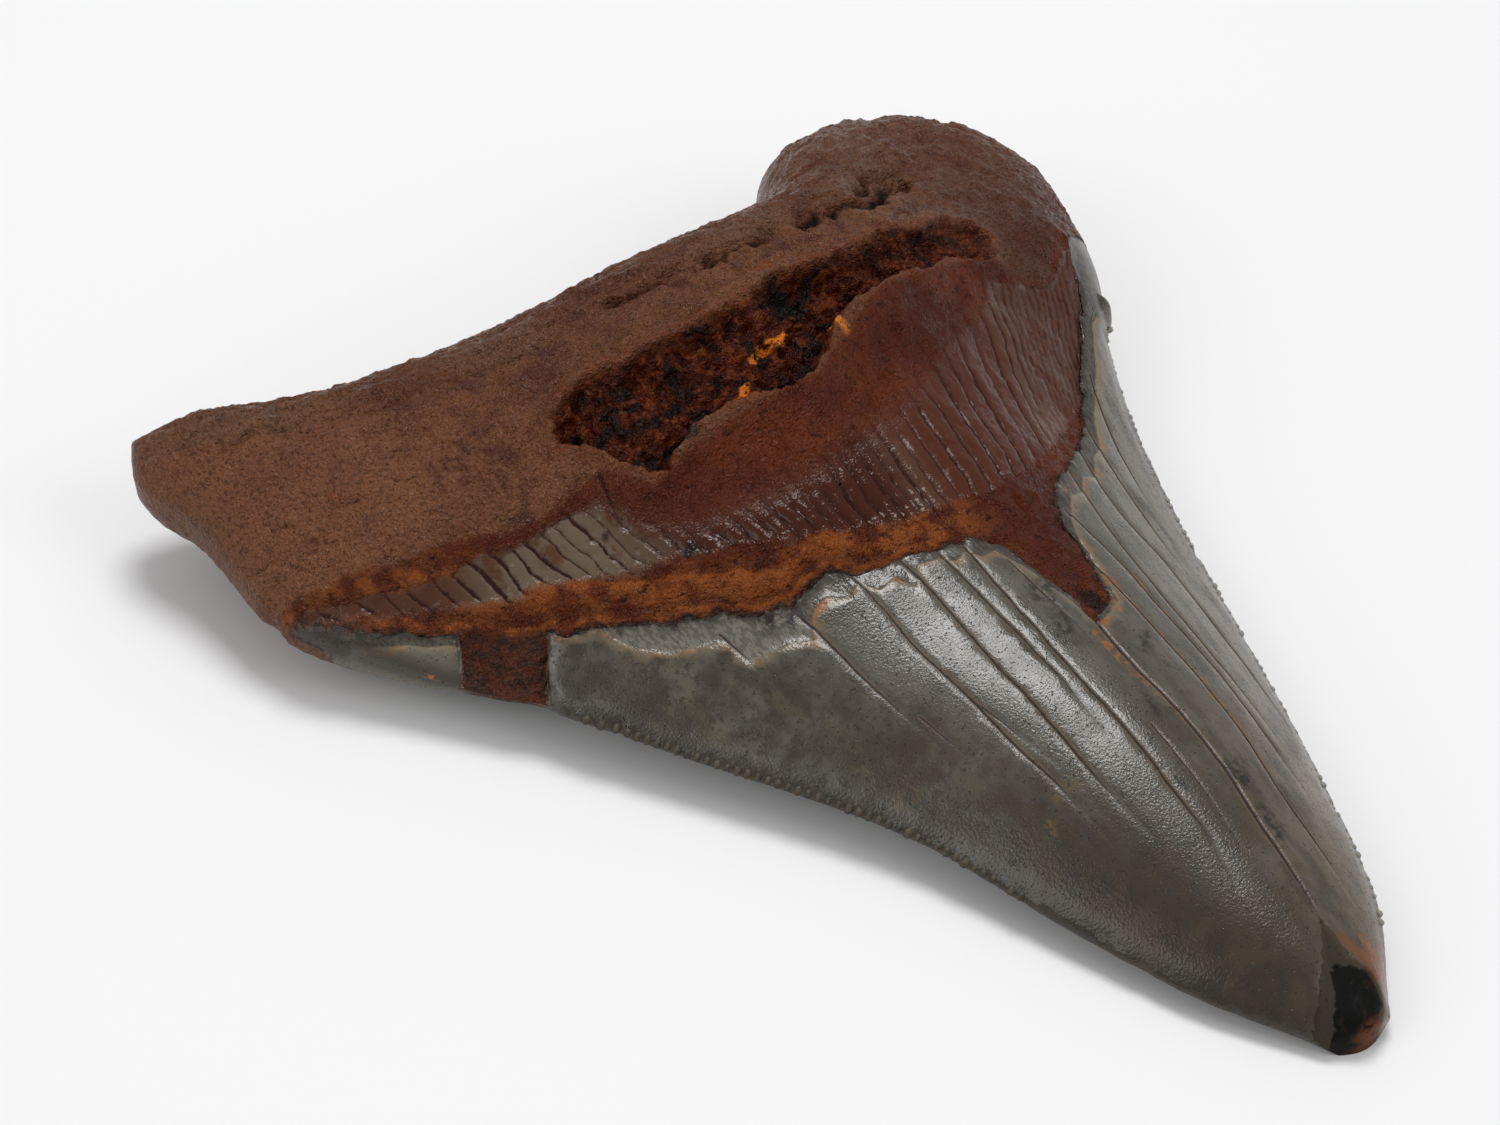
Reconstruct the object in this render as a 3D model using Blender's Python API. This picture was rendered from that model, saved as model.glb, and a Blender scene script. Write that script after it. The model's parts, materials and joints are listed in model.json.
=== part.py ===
"""A fossil shark tooth, lying on its labial face with the lingual face up.

X runs across the tooth, +Y from the tip to the root, +Z up off the table. The tooth is one solid:
a thin-edged blade with a thick two-lobed root, closed by the broken face at its tip.
"""

import bmesh
import bpy
import numpy as np

MM = 0.001

# The rim, where the lingual and labial faces meet, as (x, y, height over the table) in millimetres.
# Along the root it is the middle of a rounded edge; down both sides it is the cutting edge.
BASAL_EDGE = [
    (-44.5, 44.0, 9.5),  # end of the left lobe
    (-40.5, 44.0, 9.5),
    (-31.0, 40.0, 9.5),
    (-17.0, 37.5, 10.5),
    (-2.0, 37.0, 12.5),  # the shallow arch between the lobes
    (12.5, 39.5, 11.5),
    (21.0, 48.0, 9.5),  # the right lobe stands further out and ends in a hook
    (31.0, 50.5, 8.0),
    (40.0, 46.5, 8.5),
]
LEFT_EDGE = [
    BASAL_EDGE[0],
    (-46.5, 41.0, 9.0),
    (-45.0, 34.0, 8.5),
    (-43.0, 22.5, 6.0),  # corner of the crown
    (-37.0, 14.5, 4.5),
    (-31.5, 8.0, 4.5),
    (-23.0, -4.0, 4.0),
    (-13.5, -19.0, 3.5),
    (-8.5, -32.0, 2.5),
    (-4.5, -41.5, 2.0),
    (0.5, -49.0, 1.5),
]
RIGHT_EDGE = [
    BASAL_EDGE[-1],
    (44.5, 39.5, 8.0),
    (43.5, 31.0, 6.5),
    (41.0, 24.5, 6.0),  # corner of the crown
    (35.5, 15.5, 5.0),
    (29.0, 1.0, 4.0),
    (23.0, -15.5, 3.5),
    (17.5, -30.5, 3.0),
    (12.0, -42.5, 2.5),
    (6.5, -50.0, 1.5),
]
TIP_EDGE = [LEFT_EDGE[-1], (3.0, -48.5, 1.5), RIGHT_EDGE[-1]]

# How far the lingual face stands over the rim in the middle of the tooth, against the share of the
# way from the root's basal edge to the tip: the root's swell first, then the long taper of the crown.
SWELL = [(0.0, 9.0), (0.10, 11.5), (0.22, 13.5), (0.34, 12.0), (0.50, 9.0), (0.75, 6.5), (1.0, 2.0)]
ROOT_ENDS = (0.21, 0.44)  # shares of the way down between which the root turns into the blade
LOBE_THINNING = (0.7, 0.5)  # how much less the left and the right lobe stand up than the middle of the root
BASAL_FADE = 2.5  # how fast the shape of the basal edge dies away towards the tip
TIP_FADE = 4.0
SIDE_ROUNDING = 10.0
BASAL_ROUNDING = 7.0
UNDERSIDE_ROUNDING = 12.0
BLADE_FLATNESS = 3.0
CORNER_BLEND = 3.0  # how sharply the rounding of the sides and of the basal edge meet at a lobe's end
WORN_FLAT = 0.25  # the labial face is taken down this much where it touches the table

# The patch where a flake has spalled off the root's lingual face.
SPALL_LINE = [(-16.0, 18.0), (-3.0, 17.5), (11.0, 21.0), (25.0, 22.5)]
SPALL_REACH = 4.6
SPALL_DEPTH = 1.5

COLUMNS = 33
ROWS = 49
CURVE_STEPS = 16
COLOUR = (0.075, 0.035, 0.020, 1.0)
ROUGHNESS = 0.45


def curve_through(points, shares):
    """Points at the given shares of the length of a smooth curve through the given points."""
    knots = np.asarray(points, float)
    knots = np.vstack([2 * knots[0] - knots[1], knots, 2 * knots[-1] - knots[-2]])
    u = np.linspace(0, 1, CURVE_STEPS, endpoint=False)[:, None]
    stretches = []
    for before, start, end, after in zip(knots, knots[1:], knots[2:], knots[3:]):
        last, this, following = (
            np.linalg.norm((b - a)[:2]) for a, b in ((before, start), (start, end), (end, after))
        )
        leaving = this * ((start - before) / last * this + (end - start) / this * last) / (last + this)
        arriving = this * ((end - start) / this * following + (after - end) / following * this)
        arriving = arriving / (this + following)
        stretches.append(
            (2 * u**3 - 3 * u**2 + 1) * start
            + (u**3 - 2 * u**2 + u) * leaving
            + (3 * u**2 - 2 * u**3) * end
            + (u**3 - u**2) * arriving
        )
    stretches.append(knots[-2:-1])
    path = np.vstack(stretches)
    run = np.r_[0, np.cumsum(np.linalg.norm(np.diff(path[:, :2], axis=0), axis=1))]
    return np.stack([np.interp(shares * run[-1], run, path[:, axis]) for axis in range(3)], axis=1)


def ease(start, end, x):
    share = np.clip((x - start) / (end - start), 0, 1)
    return share * share * (3 - 2 * share)


def quarter_round(x):
    """Rises from 0 to 1 as a quarter circle does, then stays at 1."""
    return np.sqrt(1 - (1 - np.clip(x, 0, 1)) ** 2)


def nearer(first, second):
    """The smaller of two distances, with the corner between them rounded off."""
    first = np.maximum(first, 1e-9)
    second = np.maximum(second, 1e-9)
    return (first**-CORNER_BLEND + second**-CORNER_BLEND) ** (-1 / CORNER_BLEND)


def swell_at(down):
    """The swell between its listed places, eased so that it has no corners."""
    places, heights = np.array(SWELL).T
    rises = np.gradient(heights, places)
    found = np.clip(np.searchsorted(places, down) - 1, 0, len(places) - 2)
    gap = places[found + 1] - places[found]
    u = (down - places[found]) / gap
    return (
        (2 * u**3 - 3 * u**2 + 1) * heights[found]
        + (u**3 - 2 * u**2 + u) * gap * rises[found]
        + (3 * u**2 - 2 * u**3) * heights[found + 1]
        + (u**3 - u**2) * gap * rises[found + 1]
    )


def distance_to_line(x, y, line):
    """How far each (x, y) is from a run of straight stretches."""
    nearest = np.full(np.shape(x), np.inf)
    for (ax, ay), (bx, by) in zip(line, line[1:]):
        along = ((x - ax) * (bx - ax) + (y - ay) * (by - ay)) / ((bx - ax) ** 2 + (by - ay) ** 2)
        along = np.clip(along, 0, 1)
        nearest = np.minimum(nearest, np.hypot(x - ax - along * (bx - ax), y - ay - along * (by - ay)))
    return nearest


def tooth_faces():
    """The lingual and the labial face as two grids of points that share their rim."""
    across = np.linspace(0, 1, COLUMNS)
    across = 0.5 * across + 0.25 * (1 - np.cos(np.pi * across))
    down = np.linspace(0, 1, ROWS) ** 1.35
    basal = curve_through(BASAL_EDGE, across)
    tip = curve_through(TIP_EDGE, across)
    left = curve_through(LEFT_EDGE, down)
    right = curve_through(RIGHT_EDGE, down)

    # Straight lines from edge to edge, bent to follow the basal edge at one end and the tip at the other.
    s = across[None, :, None]
    t = down[:, None, None]
    rim = (1 - s) * left[:, None] + s * right[:, None]
    rim += (1 - t) ** BASAL_FADE * (basal - (1 - s) * basal[0] - s * basal[-1])
    rim += t**TIP_FADE * (tip - (1 - s) * tip[0] - s * tip[-1])
    x, y, edge_height = np.moveaxis(rim, -1, 0)

    width = np.linalg.norm((right - left)[:, :2], axis=1)[:, None]
    w = 2 * across[None, :] - 1
    from_side = (1 - np.abs(w)) / 2 * width
    steps = np.linalg.norm(np.diff(rim[..., :2], axis=0), axis=2)
    from_base = np.vstack([np.zeros(COLUMNS), np.cumsum(steps, axis=0)])
    root = (1 - ease(*ROOT_ENDS, down))[:, None]

    rounded = quarter_round(nearer(from_side / SIDE_ROUNDING, from_base / BASAL_ROUNDING))
    thinning = np.where(w < 0, *LOBE_THINNING)
    arch = (1 - root) * (1 - w**2) + root * rounded * (1 - thinning * w**2)
    lingual = edge_height + swell_at(down)[:, None] * arch
    spall = 1 - ease(0.6, 1.0, distance_to_line(x, y, SPALL_LINE) / SPALL_REACH)
    lingual = lingual - SPALL_DEPTH * spall

    rounded = quarter_round(nearer(from_side, from_base) / UNDERSIDE_ROUNDING)
    under = (1 - root) * (1 - np.abs(w) ** BLADE_FLATNESS) + root * rounded
    labial = np.maximum(edge_height * (1 - under) - WORN_FLAT, 0.0)
    on_rim = np.minimum(from_side, from_base) < 1e-6
    labial = np.where(on_rim, edge_height, labial)
    lingual = np.where(on_rim, edge_height, lingual)
    return np.dstack([x, y, lingual]), np.dstack([x, y, labial])


def build_tooth():
    """One closed mesh from the two faces, joined along the rim and closed at the broken tip."""
    lingual, labial = tooth_faces()
    both = np.vstack([lingual.reshape(-1, 3), labial.reshape(-1, 3)])
    middle = (both.min(axis=0) + both.max(axis=0)) / 2
    middle[2] = both[:, 2].min()

    shape = bmesh.new()
    upper = [[shape.verts.new((p - middle) * MM) for p in row] for row in lingual]
    lower = [[None] * COLUMNS for _ in range(ROWS)]
    for row in range(ROWS):
        for column in range(COLUMNS):
            shared = row == 0 or column in (0, COLUMNS - 1)
            place = (labial[row, column] - middle) * MM
            lower[row][column] = upper[row][column] if shared else shape.verts.new(place)
    for row in range(ROWS - 1):
        for column in range(COLUMNS - 1):
            for grid in (upper, lower):
                corners = [
                    grid[row][column],
                    grid[row + 1][column],
                    grid[row + 1][column + 1],
                    grid[row][column + 1],
                ]
                shape.faces.new(corners if grid is upper else corners[::-1])
    shape.faces.new(upper[-1][::-1] + lower[-1][1:-1])
    bmesh.ops.triangulate(shape, faces=shape.faces[:])
    bmesh.ops.recalc_face_normals(shape, faces=shape.faces[:])

    mesh = bpy.data.meshes.new("tooth")
    shape.to_mesh(mesh)
    shape.free()
    mesh.shade_smooth()
    mesh.materials.append(fossil_material())
    tooth = bpy.data.objects.new("tooth", mesh)
    bpy.context.scene.collection.objects.link(tooth)
    return tooth


def fossil_material():
    material = bpy.data.materials.new("tooth")
    material.use_nodes = True
    surface = material.node_tree.nodes["Principled BSDF"]
    surface.inputs["Base Color"].default_value = COLOUR
    surface.inputs["Roughness"].default_value = ROUGHNESS
    surface.inputs["Metallic"].default_value = 0.0
    return material


for left_over in list(bpy.data.objects):
    bpy.data.objects.remove(left_over, do_unlink=True)
build_tooth()
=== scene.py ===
# %% [markdown]
# # A fossil shark tooth
#
# A megalodon tooth is one natural piece with three very different skins. The **root** is spongy
# bone turned to brown stone. The **crown** is glossy grey enamel, split lengthwise by age. Between
# them a chevron-shaped band, the **bourlette**, shows the thin striped layer that held them
# together. This script makes one fine mesh, carves the damage that makes this tooth this tooth,
# and then paints each skin from masks that are worked out from the same curves.

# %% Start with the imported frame
import json
import math
import bpy
import numpy as np
from mathutils import Matrix, Vector

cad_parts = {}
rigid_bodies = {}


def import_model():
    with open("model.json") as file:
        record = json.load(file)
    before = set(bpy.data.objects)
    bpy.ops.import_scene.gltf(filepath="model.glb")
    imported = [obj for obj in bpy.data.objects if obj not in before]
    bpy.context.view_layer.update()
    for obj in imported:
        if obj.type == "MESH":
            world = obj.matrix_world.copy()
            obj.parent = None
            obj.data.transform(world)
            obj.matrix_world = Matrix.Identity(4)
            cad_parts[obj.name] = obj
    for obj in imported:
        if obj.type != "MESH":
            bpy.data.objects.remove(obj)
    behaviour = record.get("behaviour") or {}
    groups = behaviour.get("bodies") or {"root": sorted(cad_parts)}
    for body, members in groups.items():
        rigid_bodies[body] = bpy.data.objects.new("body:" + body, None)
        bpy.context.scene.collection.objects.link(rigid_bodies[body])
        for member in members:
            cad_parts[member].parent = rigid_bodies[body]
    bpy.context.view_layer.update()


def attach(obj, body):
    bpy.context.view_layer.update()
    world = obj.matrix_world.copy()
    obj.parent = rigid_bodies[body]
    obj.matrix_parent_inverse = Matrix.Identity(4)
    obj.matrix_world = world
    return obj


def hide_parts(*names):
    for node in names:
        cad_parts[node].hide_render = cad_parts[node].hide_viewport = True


for left_over in list(bpy.data.objects):
    bpy.data.objects.remove(left_over, do_unlink=True)
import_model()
MM = 0.001

# %% [markdown]
# ## The form of the tooth
#
# The rim runs where the lingual face (up) meets the labial face (down). Four curves carry it: the
# basal edge of the root, the two cutting edges, and the short broken edge at the tip. They could be
# drawn as one loop, but four separate edges let a surface be stretched between them, whose grid
# lines then run along the tooth, as its growth lines do. Each point is (x, y, height), in
# millimetres, with +Y towards the root.

# %% The four edges
BASAL_EDGE = [
    (-44.5, 44.0, 9.5),  # end of the left lobe
    (-40.5, 44, 9.5), (-31, 40, 9.5), (-17, 37.5, 10.5),
    (-2.0, 37.0, 12.5),  # the shallow arch between the lobes
    (12.5, 39.5, 11.5),
    (21.0, 48.0, 9.5),  # the right lobe stands further out and ends in a hook
    (31, 50.5, 8), (40, 46.5, 8.5),
]
LEFT_EDGE = [
    BASAL_EDGE[0],
    (-45.9, 41, 9), (-44.4, 34, 8.5),
    (-43.0, 22.5, 6.0),  # corner of the crown
    (-37, 14.5, 4.5), (-31.5, 8, 4.5), (-23, -4, 4), (-13.5, -19, 3.5), (-8.5, -32, 2.5),
    (-4.5, -41.5, 2), (0.5, -49, 1.5),
]
RIGHT_EDGE = [
    BASAL_EDGE[-1],
    (44.5, 39.5, 8), (43.5, 31, 6.5),
    (41.0, 24.5, 6.0),  # corner of the crown
    (35.5, 15.5, 5), (29, 1, 4), (23, -15.5, 3.5), (17.5, -30.5, 3), (12, -42.5, 2.5),
    (6.3, -49.7, 1.5),
]
TIP_EDGE = [LEFT_EDGE[-1], (3.6, -50.2, 1.5), RIGHT_EDGE[-1]]
print("points on the edges:", [len(edge) for edge in (BASAL_EDGE, LEFT_EDGE, RIGHT_EDGE, TIP_EDGE)])

# %% How far the faces stand out
# The lingual face's height over the rim along the middle, against the share of the way down.
SWELL = [(0.0, 9.0), (0.10, 11.5), (0.22, 13.5), (0.34, 12.0), (0.50, 9.0), (0.75, 6.5), (1.0, 2.0)]
ROOT_ENDS = (0.21, 0.44)  # share of the way down where root starts and ends turning into blade
LOBE_THINNING = (0.7, 0.5)  # how much of the swell the left and the right lobe lose at their ends
BASAL_FADE, TIP_FADE = 2.5, 4.0  # how fast the end edges stop shaping the sides
SIDE_ROUNDING, BASAL_ROUNDING, UNDERSIDE_ROUNDING = 10.0, 7.0, 12.0  # millimetres in from the rim
BLADE_FLATNESS = 3.0  # 2 is a round underside; more is flatter
CORNER_BLEND = 3.0
WORN_FLAT = 0.25  # millimetres worn off the labial face where it rests
print("tallest swell:", max(height for _, height in SWELL), "mm")


# %% Curves and soft steps
def curve_through(points, shares):
    """Points at the given shares of the length of a smooth curve through the given points."""
    knots = np.asarray(points, float)
    knots = np.vstack([2 * knots[0] - knots[1], knots, 2 * knots[-1] - knots[-2]])
    u = np.linspace(0, 1, 16, endpoint=False)[:, None]
    stretches = []
    for before, start, end, after in zip(knots, knots[1:], knots[2:], knots[3:]):
        last, this, following = (
            np.linalg.norm((b - a)[:2]) for a, b in ((before, start), (start, end), (end, after))
        )
        leaving = this * ((start - before) / last * this + (end - start) / this * last) / (last + this)
        arriving = this * ((end - start) / this * following + (after - end) / following * this)
        arriving = arriving / (this + following)
        stretches.append(
            (2 * u**3 - 3 * u**2 + 1) * start
            + (u**3 - 2 * u**2 + u) * leaving
            + (3 * u**2 - 2 * u**3) * end
            + (u**3 - u**2) * arriving
        )
    stretches.append(knots[-2:-1])
    path = np.vstack(stretches)
    run = np.r_[0, np.cumsum(np.linalg.norm(np.diff(path[:, :2], axis=0), axis=1))]
    return np.stack([np.interp(shares * run[-1], run, path[:, k]) for k in range(path.shape[1])], axis=1)


def ease(start, end, x):
    """Goes smoothly from 0 at start to 1 at end."""
    share = np.clip((x - start) / (end - start), 0, 1)
    return share * share * (3 - 2 * share)


def quarter_round(x):
    """Rises from 0 to 1 as a quarter circle does, then stays at 1."""
    return np.sqrt(1 - (1 - np.clip(x, 0, 1)) ** 2)


def nearer(first, second):
    """The smaller of two distances, with the corner between them rounded off."""
    first = np.maximum(first, 1e-9)
    second = np.maximum(second, 1e-9)
    return (first**-CORNER_BLEND + second**-CORNER_BLEND) ** (-1 / CORNER_BLEND)


def swell_at(down):
    """The swell between its listed places, eased so that it has no corners."""
    places, heights = np.array(SWELL).T
    rises = np.gradient(heights, places)
    found = np.clip(np.searchsorted(places, down) - 1, 0, len(places) - 2)
    gap = places[found + 1] - places[found]
    u = (down - places[found]) / gap
    return (
        (2 * u**3 - 3 * u**2 + 1) * heights[found]
        + (u**3 - 2 * u**2 + u) * gap * rises[found]
        + (3 * u**2 - 2 * u**3) * heights[found + 1]
        + (u**3 - u**2) * gap * rises[found + 1]
    )


# %% [markdown]
# ## Tools for carving
#
# Everything on the lingual face is placed by where it is seen from above, in the same millimetres
# as the edges. Three measures are enough to carve with: how far a point is from a line, how deep it
# is inside an outline, and a repeatable mottle for anything uneven. Sculpting by hand could do the
# same, but a measure can be used twice: once to move the surface, once to colour it.


# %% Distances and mottle
def near_line(x, y, line, reach):
    """Distance from each point to a run of straight stretches, measured only within reach."""
    line = np.asarray(line, float)[:, :2]
    distance = np.full(x.shape, reach)
    low = line.min(axis=0) - reach
    high = line.max(axis=0) + reach
    close = (x > low[0]) & (x < high[0]) & (y > low[1]) & (y < high[1])
    px, py = x[close], y[close]
    nearest = np.full(px.shape, reach)
    for (ax, ay), (bx, by) in zip(line, line[1:]):
        along = ((px - ax) * (bx - ax) + (py - ay) * (by - ay)) / ((bx - ax) ** 2 + (by - ay) ** 2)
        along = np.clip(along, 0, 1)
        nearest = np.minimum(nearest, np.hypot(px - ax - along * (bx - ax), py - ay - along * (by - ay)))
    distance[close] = nearest
    return distance


def depth_inside(x, y, outline, reach=12.0):
    """Distance to a closed outline: above 0 inside it, below 0 outside."""
    ring = np.asarray(list(outline) + [outline[0]], float)
    inside = np.zeros(x.shape, bool)
    for (ax, ay), (bx, by) in zip(ring, ring[1:]):
        if ay == by:
            continue
        crosses = (ay > y) != (by > y)
        inside ^= crosses & (x < (bx - ax) * (y - ay) / (by - ay) + ax)
    distance = near_line(x, y, ring, reach)
    return np.where(inside, distance, -distance)


def mottle(x, y, size, seed, octaves=3):
    """Repeatable ups and downs between about -1 and 1, with lumps of the given size."""
    total = np.zeros(x.shape)
    strength, whole = 1.0, 0.0
    for octave in range(octaves):
        table = np.random.default_rng(seed + octave).uniform(-1, 1, (256, 256))
        u = x / size + 97.3
        v = y / size + 61.7
        i = np.floor(u).astype(int)
        j = np.floor(v).astype(int)
        fu = ease(0, 1, u - i)
        fv = ease(0, 1, v - j)
        i %= 255
        j %= 255
        row = table[i, j] * (1 - fu) + table[i + 1, j] * fu
        next_row = table[i, j + 1] * (1 - fu) + table[i + 1, j + 1] * fu
        total += strength * (row * (1 - fv) + next_row * fv)
        whole += strength
        strength *= 0.55
        size *= 0.5
    return total / whole * 1.6


def smooth_outline(points, closed=False, step=0.7):
    """A smooth curve through flat points, as a list of closely spaced points."""
    points = [(px, py, 0.0) for px, py in points]
    if closed:
        points = points + [points[0]]
    length = sum(math.dist(a, b) for a, b in zip(points, points[1:]))
    path = curve_through(points, np.linspace(0, 1, max(4, int(length / step))))[:, :2]
    return path[:-1] if closed else path


# %% [markdown]
# ## Where each skin lies
#
# The enamel ends in a ragged chevron. Its left arm climbs from the crown's left corner, and a brown
# tongue runs down beside the main crack where a sliver of enamel has been lost. The bourlette lies
# between the enamel and the root. A flake has spalled off the root above it and left a rough pit.

# %% The outlines of the skins
# Two far corners close a line into an outline of all that is below it, or above it.
BELOW = [(60, -70), (-60, -70)]
ABOVE = [(60, 60), (-60, 60)]
ENAMEL_TOP = [
    (-50, 25), (-43.5, 22.5), (-37.5, 17), (-33, 13.5), (-28.5, 10), (-24, 6.6), (-20.5, 4.3),
    (-17, 2.2), (-14.5, 0.3), (-12, -0.4), (-8.5, 0), (-6, -1.5), (-3.5, -2), (0, -3), (3, -3),
    (5, -4.5), (6, -7.5), (6.8, -11), (7, -13.8), (8.4, -13), (10, -12), (11.2, -8.5), (11.8, -5),
    (12.7, -2.5), (15, 0.5), (20, 3.5), (24.5, 7.5), (27, 10.5), (32, 16.5), (34.5, 20), (37, 25),
    (50, 31),
]
BLADE_OUTLINE = ENAMEL_TOP + BELOW
BAND_TOP = [
    (-50, 27), (-41.5, 22.5), (-35, 19.5), (-31, 18), (-27.5, 16.2), (-24.5, 15.2), (-21.5, 15.6),
    (-19, 15.4), (-16, 12.5), (-9, 13.5), (0, 13.5), (10, 19), (24, 22.3), (31, 20.5), (36, 26),
    (50, 33),
]
BAND_OUTLINE = BAND_TOP + ENAMEL_TOP[::-1]
RIBS_TOP = [
    (-41.5, 21.6), (-38, 19.3), (-34, 17.4), (-31, 16.4), (-28, 15.4), (-25, 14.3), (-22, 14.6),
    (-19.5, 14.8), (-17, 12.2), (-13.5, 10.8), (-9.5, 9.6), (-5, 9.2), (0.5, 9.6), (6.5, 12),
    (14, 16.5), (22.5, 20.5), (31, 20.5), (36, 24),
]
RIBS_BOTTOM = [
    (-42.5, 21), (-37.5, 17.9), (-33, 15.3), (-29.5, 13.3), (-26, 11.5), (-22.5, 9.8), (-20, 8.5),
    (-16.5, 6.9), (-12.5, 5), (-9, 3.5), (-5, 1.9), (-1, 0.6), (3, 0.2), (7.5, 0), (13.5, 2),
    (21, 6), (27.5, 11), (34.5, 19),
]
RIBS_OUTLINE = RIBS_TOP + RIBS_BOTTOM[::-1]
SPALL = [
    (-21, 19), (-20.3, 20.7), (-18.5, 22), (-16.3, 23.2), (-11, 22.4), (-6, 22.3), (-1, 22.5),
    (2.5, 24), (9, 24.2), (12, 24.6), (16.5, 26.2), (20.5, 26.2), (23.5, 27.2), (26.2, 26.4),
    (27.4, 24.6), (26.2, 22.4), (24, 22), (20.5, 22.3), (17, 20.8), (13, 20.2), (9, 19), (5.5, 18),
    (3, 15.8), (0, 13.7), (-2.5, 13.2), (-5.5, 14.4), (-9, 14.6), (-12, 14), (-14.5, 12.8),
    (-16.3, 13.2), (-18.2, 16.2),
]
LOST_ENAMEL = [
    (-32.7, 13.8), (-28.6, 10.6), (-27.5, 9.2), (-28.5, 8), (-29.6, 6.4), (-30, 4.5), (-36.5, 7),
    (-34.2, 10.8), (-33.5, 12),
]
# The second, deeper step of the enamel, which stops short of the first in scallops.
FLAKED_TOP = [
    (-50, 21), (-43.5, 21), (-37, 15.8), (-33, 12.8), (-28, 9.6), (-26.5, 8.2), (-24.4, 7),
    (-23.4, 5), (-21.3, 2.6), (-19.5, 1.7), (-17.6, 0.6), (-16.6, -1.9), (-14, -2.5), (-12.2, -3.5),
    (-11.2, -2), (-9.6, -1.4), (-8.2, -2.6), (-7, -1.9), (-5.9, -3.4), (-4.5, -3.1), (-3.3, -4.7),
    (-2.3, -3.2), (-0.6, -3.6), (0.6, -4.4), (1.8, -3.9), (2.9, -5), (4.1, -4.9), (5.6, -8),
    (6.4, -11.5), (6.9, -14.4), (8.6, -13.6), (10.5, -12.6), (11.7, -8.9), (12.3, -5.6),
    (13.4, -3.4), (15.5, -1), (17.2, -0.4), (19, 1.3), (20.7, 1.6), (22.5, 3.8), (24.6, 5.3),
    (26.8, 8.6), (31, 13.2), (34.5, 18), (50, 28),
]
FLAKED_OUTLINE = FLAKED_TOP + BELOW
TIP_BREAK = [
    (5, -42.3), (5.4, -45.8), (6.6, -47.2), (5.8, -49.2), (3.5, -52.5), (-2.5, -52.5),
    (-0.8, -48.6), (1.5, -46.4), (3.2, -44.6),
]
SPALL_LIP = [
    (-16.5, 13), (-11.5, 13.6), (-9, 14), (-6, 13.4), (-2.5, 12.4), (0.5, 13), (3.5, 15.4),
    (6.5, 16.8), (12, 19), (19, 20.4), (26, 21),
]
print("skins outlined:", len(ENAMEL_TOP), len(BAND_TOP), len(SPALL), len(FLAKED_TOP))

# %% [markdown]
# ## Grooves and cracks
#
# Two nutrient grooves run along the root just inside its basal edge. The crown dried out and split
# along its length: every crack heads for the tip, because the enamel grew that way. Each line is
# listed as (half-width, depth, points), from its head to its tail.

# %% The lines
ROOT_GROOVES = [
    (0.80, 0.40, [(-42.5, 39.5), (-40, 36.5), (-35.5, 33.2), (-31.5, 31.5), (-28, 30.6),
        (-22, 29.8)]),
    (0.60, 0.45, [(-24, 29.3), (-19.5, 29.3), (-16.5, 28.6), (-13.5, 27.4)]),
    (0.60, 0.95, [(-9.5, 29), (-5.5, 28.2), (-3, 27.8), (2.5, 28.2), (7, 28.6), (10, 28.8)]),
    (0.75, 1.05, [(9, 28.6), (14, 29.6), (17.5, 30.7), (22, 32.5), (25, 33.7), (30.5, 36.2)]),
    (0.55, 0.80, [(17.5, 32), (21.5, 34.2), (27, 36.8)]),
    (0.20, 0.28, [(-40, 27.2), (-38, 25.8), (-35.5, 24.6), (-31, 23.6)]),
    (0.20, 0.22, [(-44, 28.5), (-42, 26.2), (-39, 24.2), (-35.5, 22.2)]),
]
print("root grooves:", len(ROOT_GROOVES))

# %% The streaky strip
# Outside this line the root steps down to a streaky strip along its basal edge.
STRIP_LINE = [
    (-46, 41.5), (-42.5, 38.8), (-35.5, 33.2), (-28, 30.6), (-22, 29.6), (-16.5, 28.4),
    (-9.5, 28.8), (-3, 27.8), (7, 28.4), (17.5, 30.7), (25, 33.7), (31, 37), (37, 42), (48, 46),
]
STRIP_OUTLINE = STRIP_LINE + ABOVE

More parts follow.
